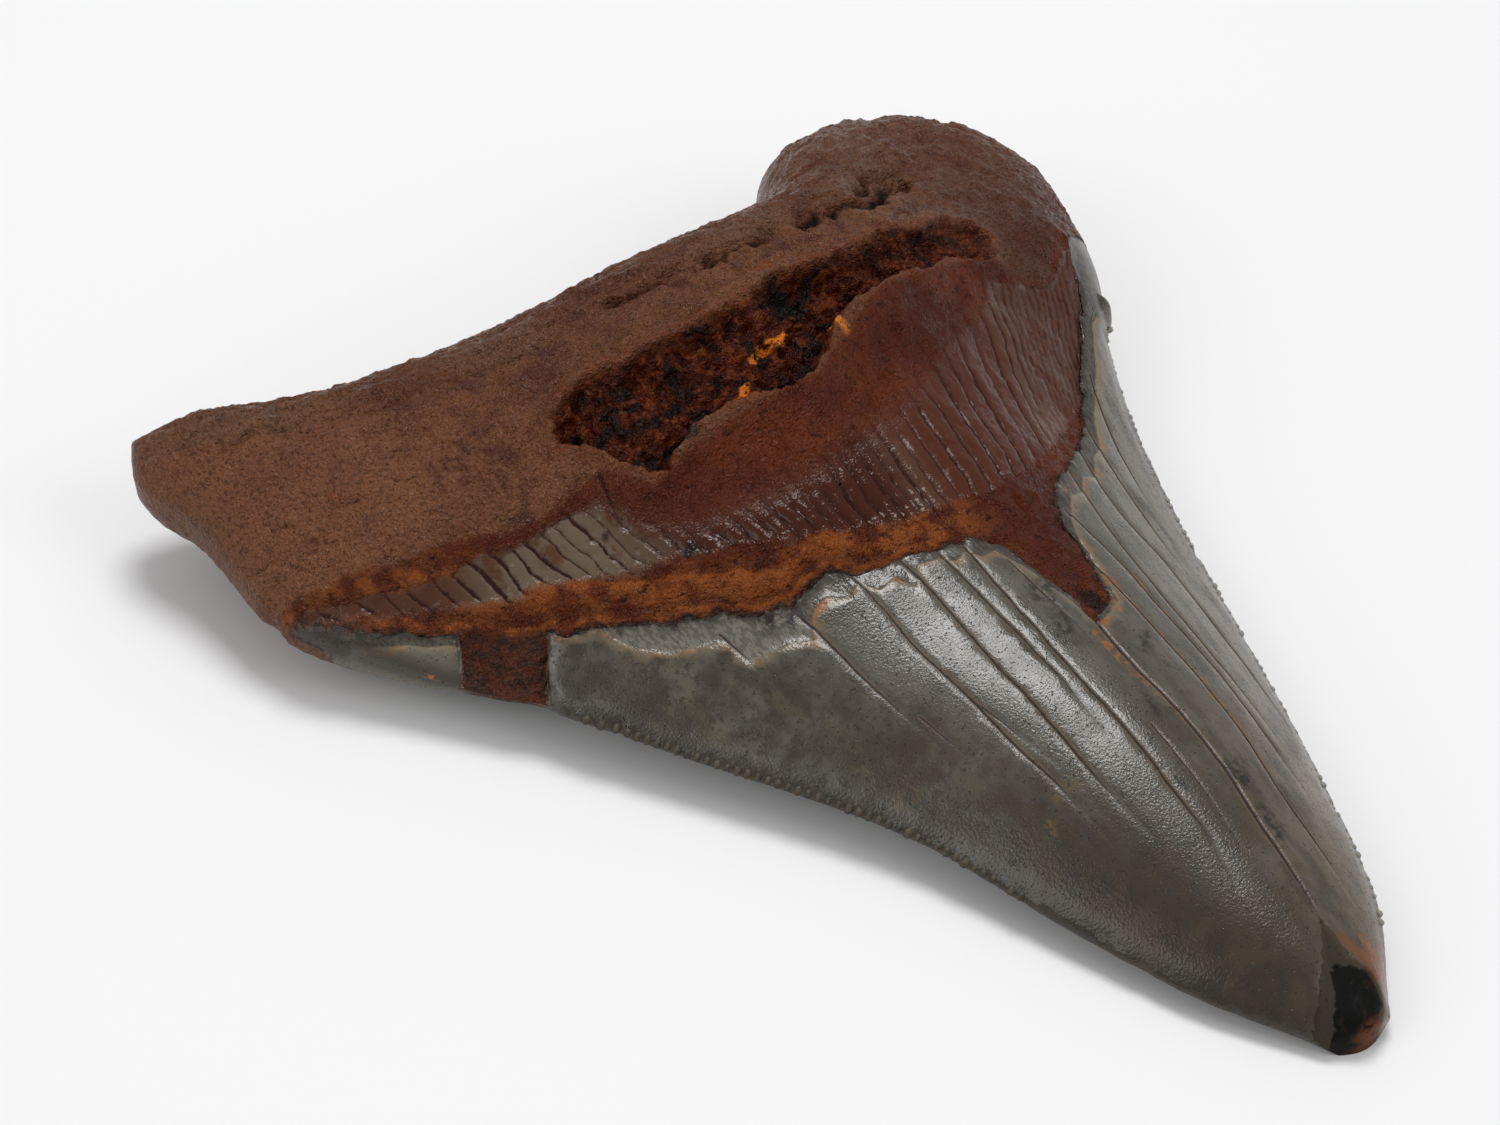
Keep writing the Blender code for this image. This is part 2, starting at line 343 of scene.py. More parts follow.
# %% Cracks, breaks and rusty lines
CROWN_CRACKS = [
    (0.08, 0.11, [(-17.5, 1.2), (-16.6, -2), (-16, -6.5)]),
    (0.10, 0.20, [(-12.3, -0.2), (-11.6, -3.2), (-10.9, -7.5), (-10, -12), (-9.3, -16)]),
    (0.08, 0.09, [(-9.2, -13), (-8.3, -17), (-7.8, -20.5)]),
    (0.10, 0.23, [(-7.2, -0.6), (-6.7, -3.5), (-6.4, -8.5), (-5.6, -14), (-5.2, -18),
        (-4.4, -23.5), (-4, -29)]),
    (0.08, 0.11, [(-5.3, -15.5), (-4.4, -19), (-3.6, -23)]),
    (0.12, 0.27, [(-3.2, -1.8), (-2.7, -5), (-2.5, -9), (-2.4, -13), (-2.1, -18), (-2, -24),
        (-1.5, -31)]),
    (0.11, 0.26, [(-0.2, -3), (0.3, -7), (0.6, -12), (0.8, -18), (0.6, -23)]),
    (0.12, 0.26, [(2, -3.6), (2.1, -9), (2, -16.5), (2.1, -22.5), (2, -28), (1.8, -33.5),
        (1, -38)]),
    (0.08, 0.11, [(4.4, -6), (5, -11.5), (5.4, -18)]),
    (0.08, 0.10, [(4, -24), (3.9, -30), (3.4, -36)]),
    (0.16, 0.38, [(6.9, -13.5), (6.7, -19), (7, -24), (6.8, -29), (6, -34.5), (5.4, -40),
        (4.4, -44.5)]),
    (0.10, 0.20, [(11.6, -8), (11.6, -13), (11.5, -21), (11, -27.5), (10, -33.5), (9.5, -38),
        (9, -43)]),
    (0.09, 0.18, [(13.6, -2.4), (14.5, -8), (14.2, -14), (14.3, -20), (13.6, -27), (13, -33)]),
    (0.08, 0.15, [(18, 2.4), (16.8, -4), (16.2, -9), (15.6, -15), (15.3, -21), (14.7, -28)]),
    (0.08, 0.14, [(21.5, 5.2), (20, -2), (20.2, -8), (19.4, -13.5), (18.8, -19.5), (17.9, -26)]),
    (0.08, 0.13, [(25, 8.3), (23.6, 2), (22.6, -4), (21.6, -10.5)]),
    (0.08, 0.14, [(30, 13), (27.8, 8), (26, 3), (24.4, -3.5)]),
]
BAND_BREAKS = [
    (0.12, 0.26, [(-19.4, 8.6), (-20.2, 6.8), (-20.8, 4.8)]),
    (0.17, 0.34, [(-19.3, 15.5), (-19.6, 12), (-19.9, 9)]),
]
# Orange stain that has crept out of some cracks and lips: (half-width, strength, points).
RUSTY_LINES = [
    (0.30, 1, [(6.4, -14.2), (6.2, -17), (6.3, -20), (6.6, -24), (6.4, -27)]),
    (0.18, 0.7, [(11.8, -9), (11.7, -14), (11.5, -21), (11, -28), (10.2, -34)]),
    (0.32, 1, [(7.2, -14.2), (8.8, -13.6), (10.4, -12.4), (11.4, -9), (12, -6), (12.9, -3.6)]),
    (0.36, 1, [(15.2, -0.8), (17, 0.2), (18.8, 1.8), (20.2, 2.4), (22.2, 3.8)]),
    (0.18, 0.7, [(14.4, -8), (14.2, -14), (14.2, -20)]),
    (0.28, 1, [(-4.4, -3.4), (-3.3, -4.6), (-2.4, -3.6), (-0.6, -3.9)]),
    (0.26, 0.9, [(-11.4, -2.2), (-9.7, -1.6), (-8.3, -2.7), (-7, -2.2), (-6, -3.4)]),
    (0.30, 1, [(1.7, -4.2), (2.9, -5), (4, -5)]),
    (0.30, 0.8, [(-34.4, 9.8), (-36.6, 12.4), (-39.4, 15.8), (-41.6, 18.8)]),
    (0.35, 0.9, [(7.4, -45), (7.2, -47.6), (6.2, -49.6), (3.5, -50.6), (0, -50.2)]),
]
EDGE_STEPS = [(0.16, 0.45, [(-33.2, 13.4), (-34, 11.2), (-34.4, 9.6)])]
print("cracks:", len(CROWN_CRACKS), "rusty lines:", len(RUSTY_LINES))


# %% How deep a line cuts
def line_depth(x, y, lines, seed, widen=1.0, wander=0.06):
    """How deep a set of grooves cuts at each point, and a 0 to 1 mask of their beds."""
    wander_x = x + wander * mottle(x, y, 2.2, seed)
    wander_y = y + wander * mottle(x, y, 2.2, seed + 40)
    depth = np.zeros(x.shape)
    bed = np.zeros(x.shape)
    for half_width, deep, points in lines:
        path = smooth_outline(points)
        distance = near_line(wander_x, wander_y, path, 4.0)
        to_tail = np.hypot(x - points[-1][0], y - points[-1][1])
        fade = 0.25 + 0.75 * ease(0.0, 9.0, to_tail)
        cut = np.exp(-((distance / (half_width * widen)) ** 2)) * fade
        depth = np.maximum(depth, deep * cut)
        bed = np.maximum(bed, cut)
    return depth, bed


# %% [markdown]
# ## The striped bourlette
#
# The band is made of narrow ribs that fan out from near the tip. On the left they are broad glassy
# scales with red cracks between them, in the middle thin glossy ribs, and on the right fine raised
# veins that close up into a fan of hairlines. One count of ribs, worked out from the angle round
# the fan's centre, gives all three: only the spacing and the shape of one rib change.

# %% The count of ribs
FAN_CENTRE = (3.0, -52.0)
# (angle round the fan, degrees from one rib to the next)
RIB_SPACING = [
    (-36, 0.92), (-31, 0.88), (-28, 0.80), (-23, 0.78), (-19, 1.00), (-16, 1.30), (-4, 1.35),
    (0, 1.45), (6, 1.90), (13, 1.70), (17, 0.55), (40, 0.45),
]


def rib_count(x, y):
    """Grows by one from each rib to the next, and the angle round the fan, in degrees."""
    angle = np.degrees(np.arctan2(x - FAN_CENTRE[0], y - FAN_CENTRE[1]))
    angle = angle + 0.22 * mottle(x, y, 3.0, 11) + 0.07 * mottle(x, y, 1.1, 15)
    degrees = np.linspace(-40, 45, 600)
    spacing = np.interp(degrees, *np.array(RIB_SPACING, float).T)
    counts = np.r_[0, np.cumsum(np.diff(degrees) / spacing[1:])]
    return np.interp(angle, degrees, counts), angle


ribs_made = rib_count(np.array([-36.0, 36.0]), np.array([18.0, 20.0]))[0]
print("ribs across the band:", int(np.ptp(ribs_made)))


# %% [markdown]
# ## Masks for carving and for colour
#
# One function turns a place into every mask: how much of it is enamel, band, spall, crack and so
# on. The carving reads it on the dense mesh and the colours read it again on the finished one.
# Painting each mask by hand would work as well, but it would have to be painted twice.

# %% Stains
# Each stain is (size of edge wobble, [(x, y, radius along x, radius along y)]).
STAINS = {
    "ochre": (0.5, [
        (-0.5, 19, 1.5, 0.45), (-5.6, 15.9, 0.8, 0.4), (4.4, 16.6, 0.6, 1.2), (-2.6, 18.4, 0.5, 0.4),
        (-36.4, 12.8, 1, 0.35), (-34.8, 11, 0.5, 0.35), (-38.9, 16.4, 0.5, 0.3),
    ]),
    "yellow": (1.0, [
        (-7, -25.6, 0.5, 1.2), (-4, -24.6, 0.8, 0.8), (-12.6, -16, 1.2, 0.8), (-20, 1, 0.8, 0.5),
    ]),
    "smear": (0.3, [
        (-15.8, 14.2, 1.6, 0.45), (-12.6, 14.1, 1.5, 0.55), (3, 22.4, 1.5, 1.4), (8.2, 19.9, 1.3, 0.7),
        (8.6, -11.6, 1.2, 1.3), (-16, 7.2, 0.6, 0.5), (-21, 11.5, 0.35, 0.3), (-13.2, 21.2, 1.2, 0.8),
    ]),
    "stain": (1.2, [
        (9.6, -16.5, 1.2, 1), (9.8, -20, 0.6, 0.6), (7.6, -30.6, 0.8, 1.6), (6.6, -35, 0.9, 1.8),
        (3.2, -29, 0.6, 0.6), (4.6, -10.5, 1.2, 1.6), (3.8, -14, 1.2, 1.8), (-14.2, -0.5, 1.6, 0.9),
        (-12, -1.4, 1, 0.6), (0, -6.5, 0.5, 0.8), (5.6, -22.5, 0.6, 1.4), (36.6, 21, 1.6, 3),
        (39, 25, 1.6, 2),
    ]),
    "rust": (1.0, [
        (-37.2, 26.2, 1.8, 0.5), (-41, 26.4, 1.2, 0.5), (6, 25.2, 4.5, 0.8), (14, 19, 5, 1.2),
        (-14, 16, 2.5, 0.6), (-4, 14.8, 3.4, 0.6), (10, 19.5, 3, 0.8), (22, 22.8, 4, 0.7),
    ]),
}


print("stains:", {name: len(spots) for name, (_, spots) in STAINS.items()})


def patches(x, y, name, seed):
    """One stain of STAINS as a mask with wobbly edges."""
    wobble, blobs = STAINS[name]
    wx = x + wobble * 0.8 * mottle(x, y, 1.6, seed)
    wy = y + wobble * 0.8 * mottle(x, y, 1.6, seed + 5)
    found = np.zeros(x.shape)
    for bx, by, rx, ry in blobs:
        reach = np.hypot((wx - bx) / rx, (wy - by) / ry)
        found = np.maximum(found, 1 - ease(0.75, 1.15, reach))
    return found


# %% Every mask of the lingual face
def lingual_masks(x, y):
    """Every mask of the lingual face, by name, for points seen from above."""
    ragged_x = x + 0.26 * mottle(x, y, 1.5, 21)
    ragged_y = y + 0.26 * mottle(x, y, 1.5, 27)

    def inside(outline, raggedness):
        return depth_inside(x + raggedness * (ragged_x - x), y + raggedness * (ragged_y - y), outline)

    edge = depth_inside(ragged_x, ragged_y, BLADE_OUTLINE)
    flaked = inside(FLAKED_OUTLINE, 0.3)
    spall = depth_inside(ragged_x + 0.2 * mottle(x, y, 0.7, 33), ragged_y, SPALL)
    tip = inside(TIP_BREAK, 0.5)
    lost = ease(-0.12, 0.12, inside(LOST_ENAMEL, 0.5))
    enamel = ease(-0.12, 0.12, edge) * (1 - lost)
    outer = ease(-0.10, 0.10, flaked) * (1 - lost)
    strip_x = x + 0.4 * mottle(x, y, 3.0, 171)
    strip_y = y + 0.5 * mottle(x, y, 2.0, 175)
    strip = depth_inside(strip_x, strip_y, STRIP_OUTLINE)
    groove_depth, groove = line_depth(x, y, ROOT_GROOVES, 61, wander=0.75)
    crack_depth, crack = line_depth(x, y, CROWN_CRACKS, 67)
    break_depth, broken = line_depth(x, y, BAND_BREAKS + EDGE_STEPS, 71)
    waves = np.cos(np.clip(-edge, 0, 6.0) * 2.6)
    spalled = ease(-0.1, 0.5, spall) * (1 - 0.35 * ease(19.0, 26.0, x))
    masks = {
        "lost": lost,
        "enamel": enamel,
        "outer": outer,
        "ledge": waves * (1 - ease(-6.0, 4.0, x)) * ease(-6.0, -4.5, edge),
        "near_edge": ease(-4.6, -3.2, edge) * (1 - ease(1.0, 8.0, x)),
        "seam": np.exp(-((edge / 0.28) ** 2)) * (1 - lost),
        "lip": outer * (1 - ease(0.05, 0.30, flaked)),
        "stria": ease(1.2, 0.0, x + 12.0) * ease(-28.5, -26.5, x) * enamel * (1 - outer),
        "spall_depth": spall,
        "spall": spalled,
        "spall_rim": ease(-1.3, -0.1, spall) * (1 - ease(-0.1, 0.4, spall)),
        "strip_depth": strip,
        "strip": ease(-0.2, 0.6, strip),
        "groove_depth": groove_depth,
        "crack_depth": crack_depth,
        "crack": crack,
        "crack_halo": line_depth(x, y, CROWN_CRACKS, 67, widen=4.0)[1],
        "rusty": line_depth(x, y, RUSTY_LINES, 73, wander=0.35)[0],
        "break_depth": break_depth,
        "break": broken,
        "tip_depth": tip,
        "tip": ease(-0.5, 0.7, tip),
    }
    band = ease(-0.5, 0.6, depth_inside(x, y, BAND_OUTLINE)) * (1 - ease(-0.12, 0.12, edge))
    masks["band"] = band * (1 - spalled)
    groove *= (0.35 + 0.65 * ease(-24.0, -8.0, x)) * (0.75 + 0.5 * mottle(x, y, 1.6, 65))
    masks["groove"] = groove
    black = ease(0.6, 1.4, tip + 0.25 * (x - 3.0)) * (1 - ease(-46.8, -45.0, y + 0.5 * (x - 4.0)))
    masks["tip_black"] = black
    outside_tip = ease(-1.3, -0.3, tip) * (1 - ease(-0.3, 0.2, tip))
    masks["tip_rim"] = outside_tip * ease(3.0, 5.5, x - 0.3 * (y + 46.0))
    for seed, name in enumerate(STAINS):
        masks[name] = patches(x, y, name, 81 + 10 * seed)
    masks.update(rib_masks(x, y, ragged_x, ragged_y))
    masks["ribs"] *= (1 - spalled) * (1 - enamel)
    return masks


# %% The masks of the ribs
def rib_masks(x, y, ragged_x, ragged_y):
    """Where the ribs are, which of their four kinds, their height, and the gaps between them."""
    count, angle = rib_count(x, y)
    nearest = np.round(count).astype(int)
    strength = np.random.default_rng(7).uniform(0.45, 1.0, 200)[nearest % 200]
    to_gap = np.abs(count - nearest)
    middle = ease(-22.0, -17.0, angle)
    veins = ease(-4.0, 2.0, angle)
    far = np.hypot(x - FAN_CENTRE[0], y - FAN_CENTRE[1])
    lines = ease(13.5, 17.5, angle)
    gap_width = 0.10 + 0.04 * middle * (1 - veins) - 0.02 * veins
    gap = strength * np.exp(-((to_gap / gap_width) ** 2))
    wave = 0.5 - 0.5 * np.cos(2 * np.pi * to_gap)
    round_top = 1 - (1 - 2 * to_gap) ** 2
    plate = 0.35 * round_top - 0.9 * gap
    rod = 0.85 * round_top - 0.45 * gap
    vein = 0.12 * round_top - 0.60 * gap
    hair_share = lines * ease(61.0, 67.0, far)
    height = plate * (1 - middle) + rod * (middle - veins) + vein * (veins - lines) + 0.15 * wave * hair_share
    inside = depth_inside(ragged_x, ragged_y, RIBS_OUTLINE)
    from_top = depth_inside(ragged_x, ragged_y, RIBS_TOP + BELOW)
    fading = 0.5 + 4.6 * middle * (1 - lines)
    return {
        "ribs": ease(-0.3, 0.4, inside) * ease(0.0, 1.0, (from_top + 0.4) / fading),
        "rib_height": height,
        "gap": gap * (1 - lines) + (1 - wave) * 0.55 * hair_share,
        "rods": middle * (1 - veins),
        "veins": veins * (1 - lines),
        "hairlines": lines,
    }


# %% [markdown]
# ## Carving the dense mesh
#
# The surface is laid out on a dense grid, moved by every mask, and only then thinned to a size that
# the library takes. Thinning by collapsing edges keeps small triangles along cracks and steps and
# spends few on smooth enamel, which an even grid of the same size can't do.

# %% The two faces as grids
COLUMNS = 601
ROWS = 681


def tooth_grids(columns, rows):
    """x, y, lingual height, labial height, distance to the rim, and -1 to 1 across, on one grid."""
    across = np.linspace(0, 1, columns)
    across = 0.5 * across + 0.25 * (1 - np.cos(np.pi * across))
    down = np.linspace(0, 1, rows) ** 1.15
    basal = curve_through(BASAL_EDGE, across)
    tip = curve_through(TIP_EDGE, across)
    left = curve_through(LEFT_EDGE, down)
    right = curve_through(RIGHT_EDGE, down)
    s = across[None, :, None]
    t = down[:, None, None]
    rim = (1 - s) * left[:, None] + s * right[:, None]
    rim += (1 - t) ** BASAL_FADE * (basal - (1 - s) * basal[0] - s * basal[-1])
    rim += t**TIP_FADE * (tip - (1 - s) * tip[0] - s * tip[-1])
    x, y, edge_height = np.moveaxis(rim, -1, 0)

    width = np.linalg.norm((right - left)[:, :2], axis=1)[:, None]
    w = 2 * across[None, :] - 1
    from_side = (1 - np.abs(w)) / 2 * width
    steps = np.linalg.norm(np.diff(rim[..., :2], axis=0), axis=2)
    from_base = np.vstack([np.zeros(columns), np.cumsum(steps, axis=0)])
    root = (1 - ease(*ROOT_ENDS, down))[:, None]

    rounded = quarter_round(nearer(from_side / SIDE_ROUNDING, from_base / BASAL_ROUNDING))
    thinning = np.where(w < 0, *LOBE_THINNING)
    arch = (1 - root) * (1 - w**2) + root * rounded * (1 - thinning * w**2)
    lingual = edge_height + swell_at(down)[:, None] * arch

    rounded = quarter_round(nearer(from_side, from_base) / UNDERSIDE_ROUNDING)
    under = (1 - root) * (1 - np.abs(w) ** BLADE_FLATNESS) + root * rounded
    labial = np.maximum(edge_height * (1 - under) - WORN_FLAT, 0.0)
    on_rim = np.minimum(from_side, from_base) < 1e-6
    labial = np.where(on_rim, edge_height, labial)
    lingual = np.where(on_rim, edge_height, lingual)
    return x, y, lingual, labial, nearer(from_side, from_base), w + 0 * x


X, Y, lingual_form, labial_form, to_rim, across = tooth_grids(COLUMNS, ROWS)
carve = lingual_masks(X, Y)
along_strip = mottle(0.22 * X, 1.6 * carve["strip_depth"], 1.0, 181, 3)
print("grid points:", X.size, "enamel share:", round(float(carve["enamel"].mean()), 3))

# %% The spalled pit
SPALL_DEEP = 2.1
SPALL_WALL = 1.3
RIM_WIDTH = 1.2  # carving fades out over this width at the rim, so that the two faces still meet
open_ground = np.minimum(1.0, to_rim / RIM_WIDTH)
spall_floor = SPALL_DEEP * (1 + 0.30 * mottle(X, Y, 5.0, 101))
spall_floor = spall_floor + 0.85 * mottle(X, Y, 2.3, 105) + 0.42 * mottle(X, Y, 0.8, 109)
spall_floor *= 1 - 0.65 * ease(14.0, 27.0, X)
carved = -ease(-0.15, SPALL_WALL, carve["spall_depth"]) * spall_floor
carved += 0.30 * carve["spall_rim"] * (1 + mottle(X, Y, 2.0, 113))
lip_height = 1 - ease(0.4, 2.2, near_line(X, Y, SPALL_LIP, 4.0))
carved += 0.55 * lip_height * (1 - carve["spall"])
print("the pit is", round(float(-carved.min()), 2), "mm deep")

# %% Ribs, enamel, cracks and the broken tip
RIB_HEIGHT = 0.27
LEDGE_HEIGHT = 0.28
ENAMEL_STEPS = (0.18, 0.13)  # the whole enamel, and its unflaked outer layer
LOST_DEPTH = 0.50
CRACK_SHARE, HALO_DEPTH = 0.42, 0.012
STRIP_DEPTH, STRIP_STREAKS = 0.40, 0.22
TIP_SLOPE = (0.15, 0.28)  # at the edge of the break, and for each millimetre further in
not_ribs = 1 - carve["ribs"]
bare = 1 - carve["enamel"]
carved += RIB_HEIGHT * carve["ribs"] * carve["rib_height"]
carved += LEDGE_HEIGHT * carve["ledge"] * carve["band"] * not_ribs
carved += ENAMEL_STEPS[0] * carve["enamel"] + ENAMEL_STEPS[1] * carve["outer"]
carved -= LOST_DEPTH * carve["lost"] * (1 + 0.9 * mottle(X, Y, 1.1, 117))
carved -= (CRACK_SHARE * carve["crack_depth"] + HALO_DEPTH * carve["crack_halo"]) * carve["enamel"]
carved -= STRIP_DEPTH * carve["strip"] * (1 - 0.5 * ease(2.0, 8.0, carve["strip_depth"]))
carved += STRIP_STREAKS * along_strip * carve["strip"]
carved -= carve["groove_depth"] * (1 + 0.85 * mottle(X, Y, 1.7, 125))
carved -= carve["break_depth"]
tip_cut = TIP_SLOPE[0] + TIP_SLOPE[1] * np.clip(carve["tip_depth"], 0, 3)
carved -= tip_cut * carve["tip"] * (1 + 0.12 * mottle(X, Y, 1.6, 129, 2))

# %% Unevenness, and the rounded tip
TIP_ROUNDING = 1.6
carved += 0.08 * mottle(X, Y, 9.0, 133, 2) * carve["enamel"]
carved += 0.40 * mottle(X, Y, 8.0, 137, 3) * bare
carved += (0.10 + 0.08 * carve["band"]) * mottle(X, Y, 1.1, 187, 2) * bare * not_ribs
steps = np.hypot(np.diff(X, axis=0), np.diff(Y, axis=0))
from_tip = np.vstack([np.cumsum(steps[::-1], axis=0)[::-1], np.zeros(COLUMNS)])
carved -= 1 - quarter_round(from_tip / TIP_ROUNDING)
lingual_z = np.maximum(lingual_form + carved * open_ground, labial_form + 0.15 * open_ground)
print("carved between", round(float(carved.min()), 2), "and", round(float(carved.max()), 2), "mm")

# %% [markdown]
# The labial face lies on the table. It is plainer on a real tooth: flat enamel that reaches higher
# up than on the other side, a few long cracks, and the root's rougher bone above it.

# %% The labial face, carved
LABIAL_ENAMEL_TOP = [
    (-50, 22), (-42, 19), (-30, 21), (-15, 17), (0, 13), (15, 17), (29, 21), (40, 21), (50, 24),
]
LABIAL_OUTLINE = LABIAL_ENAMEL_TOP + BELOW
LABIAL_CRACKS = [
    (0.14, 0.22, [(-14, 16), (-11, 2), (-7.5, -14), (-4, -28)]),
    (0.16, 0.25, [(-3, 13), (-1.5, 0), (0.5, -16), (2, -34)]),
    (0.12, 0.20, [(8, 14), (8, 0), (7, -18)]),
    (0.14, 0.22, [(20, 18), (17, 3), (13, -14), (10, -30)]),
]


def labial_masks(x, y):
    """The few masks of the labial face."""
    ragged_y = y + 0.5 * mottle(x, y, 2.5, 141)
    edge = depth_inside(x, ragged_y, LABIAL_OUTLINE)
    depth, bed = line_depth(x, y, LABIAL_CRACKS, 147)
    return {"enamel": ease(-0.15, 0.15, edge), "crack_depth": depth, "crack": bed, "crack_halo": bed}


under = labial_masks(X, Y)
hollow = (1 - under["enamel"]) * (0.25 + 0.20 * mottle(X, Y, 3.0, 151))
hollow = hollow + under["crack_depth"] * under["enamel"]
# Slight waves even on the flat enamel, so that thinning the mesh leaves it some triangles.
waves = 0.035 * (1 + mottle(X, Y, 1.3, 155, 2))
hollow = np.maximum((np.maximum(hollow, 0.0) + waves) * open_ground, 0.0)
labial_z = labial_form + hollow * np.where(labial_form > 0.02, 1.0, 0.6)
labial_z = np.minimum(labial_z, lingual_z - 0.1 * open_ground)

# %% Nicks and chips in the cutting edges
# Each nick is (x, y, radius, bite): the rim near it is drawn in towards the tooth's middle.
NICKS = [
    (-9.2, -33.5, 1.3, 0.45), (-7.7, -37.6, 1.7, 0.75), (-5.9, -41, 1.1, 0.55),
    (-30.5, 6.5, 2.4, 0.50), (-26.5, 1.3, 0.9, 0.25), (-42.8, 24, 1.5, 0.4), (-40, 18.5, 1, 0.3),
    (36.6, 17.4, 1.1, 0.50), (26.3, -6, 0.8, 0.2), (16.2, -33, 0.8, 0.20),
]
KNOB = (38.4, 20.2, 1.3, 0.75, 0.5)  # x, y, radius, how far it stands out, and how far it stands up
bite = np.zeros(X.shape)
for nx, ny, radius, deep in NICKS:
    bite = np.maximum(bite, deep * (1 - ease(0.2, 1.0, np.hypot(X - nx, Y - ny) / radius)))
knob = 1 - ease(0.2, 1.0, np.hypot(X - KNOB[0], Y - KNOB[1]) / KNOB[2])
bite -= KNOB[3] * knob
lingual_z += KNOB[4] * knob * open_ground
bite += 0.10 * np.maximum(mottle(X, Y, 1.3, 161), 0) * (1 - np.minimum(1.0, to_rim))
moved_x = X - np.sign(across) * bite * ease(0.05, 0.5, np.abs(across))
print("nicks:", len(NICKS), "deepest bite:", round(float(bite.max()), 2), "mm")

# %% One closed dense mesh
def joined_grids(x, y, top, bottom):
    """Vertices and faces of one closed skin. The underside has a grid half as fine, and shares the rim."""
    rows, columns = x.shape
    upper = np.arange(rows * columns).reshape(rows, columns)
    points = [np.stack([x, y, top], axis=-1).reshape(-1, 3)]
    half_x, half_y, half_z = x[::2, ::2], y[::2, ::2], bottom[::2, ::2]
    lower = upper[::2, ::2].copy()
    own = np.zeros(lower.shape, bool)
    own[1:, 1:-1] = True
    lower[own] = rows * columns + np.arange(own.sum())
    points.append(np.stack([half_x[own], half_y[own], half_z[own]], axis=-1))

    lingual = np.stack([upper[:-1, :-1], upper[1:, :-1], upper[1:, 1:], upper[:-1, 1:]], axis=-1)
    labial = np.stack([lower[:-1, :-1], lower[:-1, 1:], lower[1:, 1:], lower[1:, :-1]], axis=-1)
    faces = [list(face) for face in labial[0, :]]
    for column, face in enumerate(faces):
        face.insert(1, upper[0, 2 * column + 1])
    sides = []
    for row in range(labial.shape[0]):
        first = faces[0] if row == 0 else list(labial[row, 0])
        last = faces[-1] if row == 0 else list(labial[row, -1])
        first.append(upper[2 * row + 1, 0])
        last.insert(last.index(lower[row, -1]) + 1, upper[2 * row + 1, -1])
        if row:
            sides += [first, last]
    faces += sides
    for column in range(lower.shape[1] - 1):
        ring = [
            upper[-1, 2 * column],
            lower[-1, column],
            lower[-1, column + 1],
            upper[-1, 2 * column + 2],
            upper[-1, 2 * column + 1],
        ]
        faces.append(list(dict.fromkeys(ring)))
    quads = np.concatenate([lingual.reshape(-1, 4), labial[1:, 1:-1].reshape(-1, 4)])
    return np.vstack(points), quads, faces


# %% A mesh from its points
def mesh_of(name, points, quads, faces):
    """A smooth-shaded mesh from points in metres, an array of quads and a list of other faces."""
    sizes = np.r_[np.full(len(quads), 4), [len(face) for face in faces]].astype(np.int32)
    corners = np.concatenate([quads.reshape(-1), np.concatenate(faces)]) if faces else quads.reshape(-1)
    mesh = bpy.data.meshes.new(name)
    mesh.vertices.add(len(points))
    mesh.vertices.foreach_set("co", points.astype(np.float32).reshape(-1))
    mesh.loops.add(len(corners))
    mesh.loops.foreach_set("vertex_index", corners.astype(np.int32))
    mesh.polygons.add(len(sizes))
    mesh.polygons.foreach_set("loop_start", np.r_[0, np.cumsum(sizes)[:-1]].astype(np.int32))
    mesh.update(calc_edges=True)
    mesh.validate()
    mesh.shade_smooth()
    return mesh


def store(mesh, name, values):
    """Keeps one number for each vertex under a name that nodes can read."""
    layer = mesh.attributes.get(name) or mesh.attributes.new(name, "FLOAT", "POINT")
    layer.data.foreach_set("value", np.ascontiguousarray(values, dtype=np.float32))


MIDDLE = np.array([-0.98, 0.27, 0.0])
points, quads, faces = joined_grids(moved_x, Y, lingual_z, labial_z)
dense = mesh_of("tooth_dense", (points - MIDDLE) * MM, quads, faces)
lingual_count = X.size
side = np.zeros(len(points))
side[:lingual_count] = 1.0
store(dense, "side", side)
print("dense mesh:", len(dense.vertices), "vertices; middle of the edges at", MIDDLE.round(2))

# %% How coarse each skin's own grain is
GRAIN_MM = {"root": 0.10, "spall": 0.24, "band": 0.05, "enamel": 0.003}


def grain_of(masks):
    bare = 1 - masks["enamel"]
    grain = GRAIN_MM["enamel"] * masks["enamel"] + GRAIN_MM["root"] * bare
    grain = grain + (GRAIN_MM["band"] - grain) * masks["band"]
    return grain + (GRAIN_MM["spall"] - grain) * masks["spall"]


grain = np.zeros(len(points))
grain[:lingual_count] = (grain_of(carve) * open_ground).reshape(-1)
lower_grain = (0.07 * (1 - under["enamel"]) + 0.003)[::2, ::2][1:, 1:-1].reshape(-1)
grain[lingual_count:] = lower_grain * (labial_z[::2, ::2][1:, 1:-1].reshape(-1) > 0.3)
store(dense, "grain", grain)

# %% [markdown]
# ## Grain by Geometry Nodes
#
# Bone, spalled bone and enamel differ in how rough they are at under a millimetre. A node tree
# moves every point along its normal by two sizes of noise, times the grain kept on the mesh. It
# could be done in Python like the carving, but the nodes' noise is solid, so it doesn't stretch on
# the steep sides of the lobes.


# %% Tools for nodes
def add_node(tree, kind, *feeds, **settings):
    """A new node. Each feed is (socket, number or another node's output)."""
    node = tree.nodes.new(kind)
    for name, value in settings.items():
        setattr(node, name, value)
    for socket, value in feeds:
        if isinstance(value, bpy.types.NodeSocket):
            tree.links.new(value, node.inputs[socket])
        else:
            node.inputs[socket].default_value = value
    return node


def maths(tree, operation, *values):
    """The result of one sum on numbers and outputs."""
    return add_node(tree, "ShaderNodeMath", *enumerate(values), operation=operation).outputs[0]


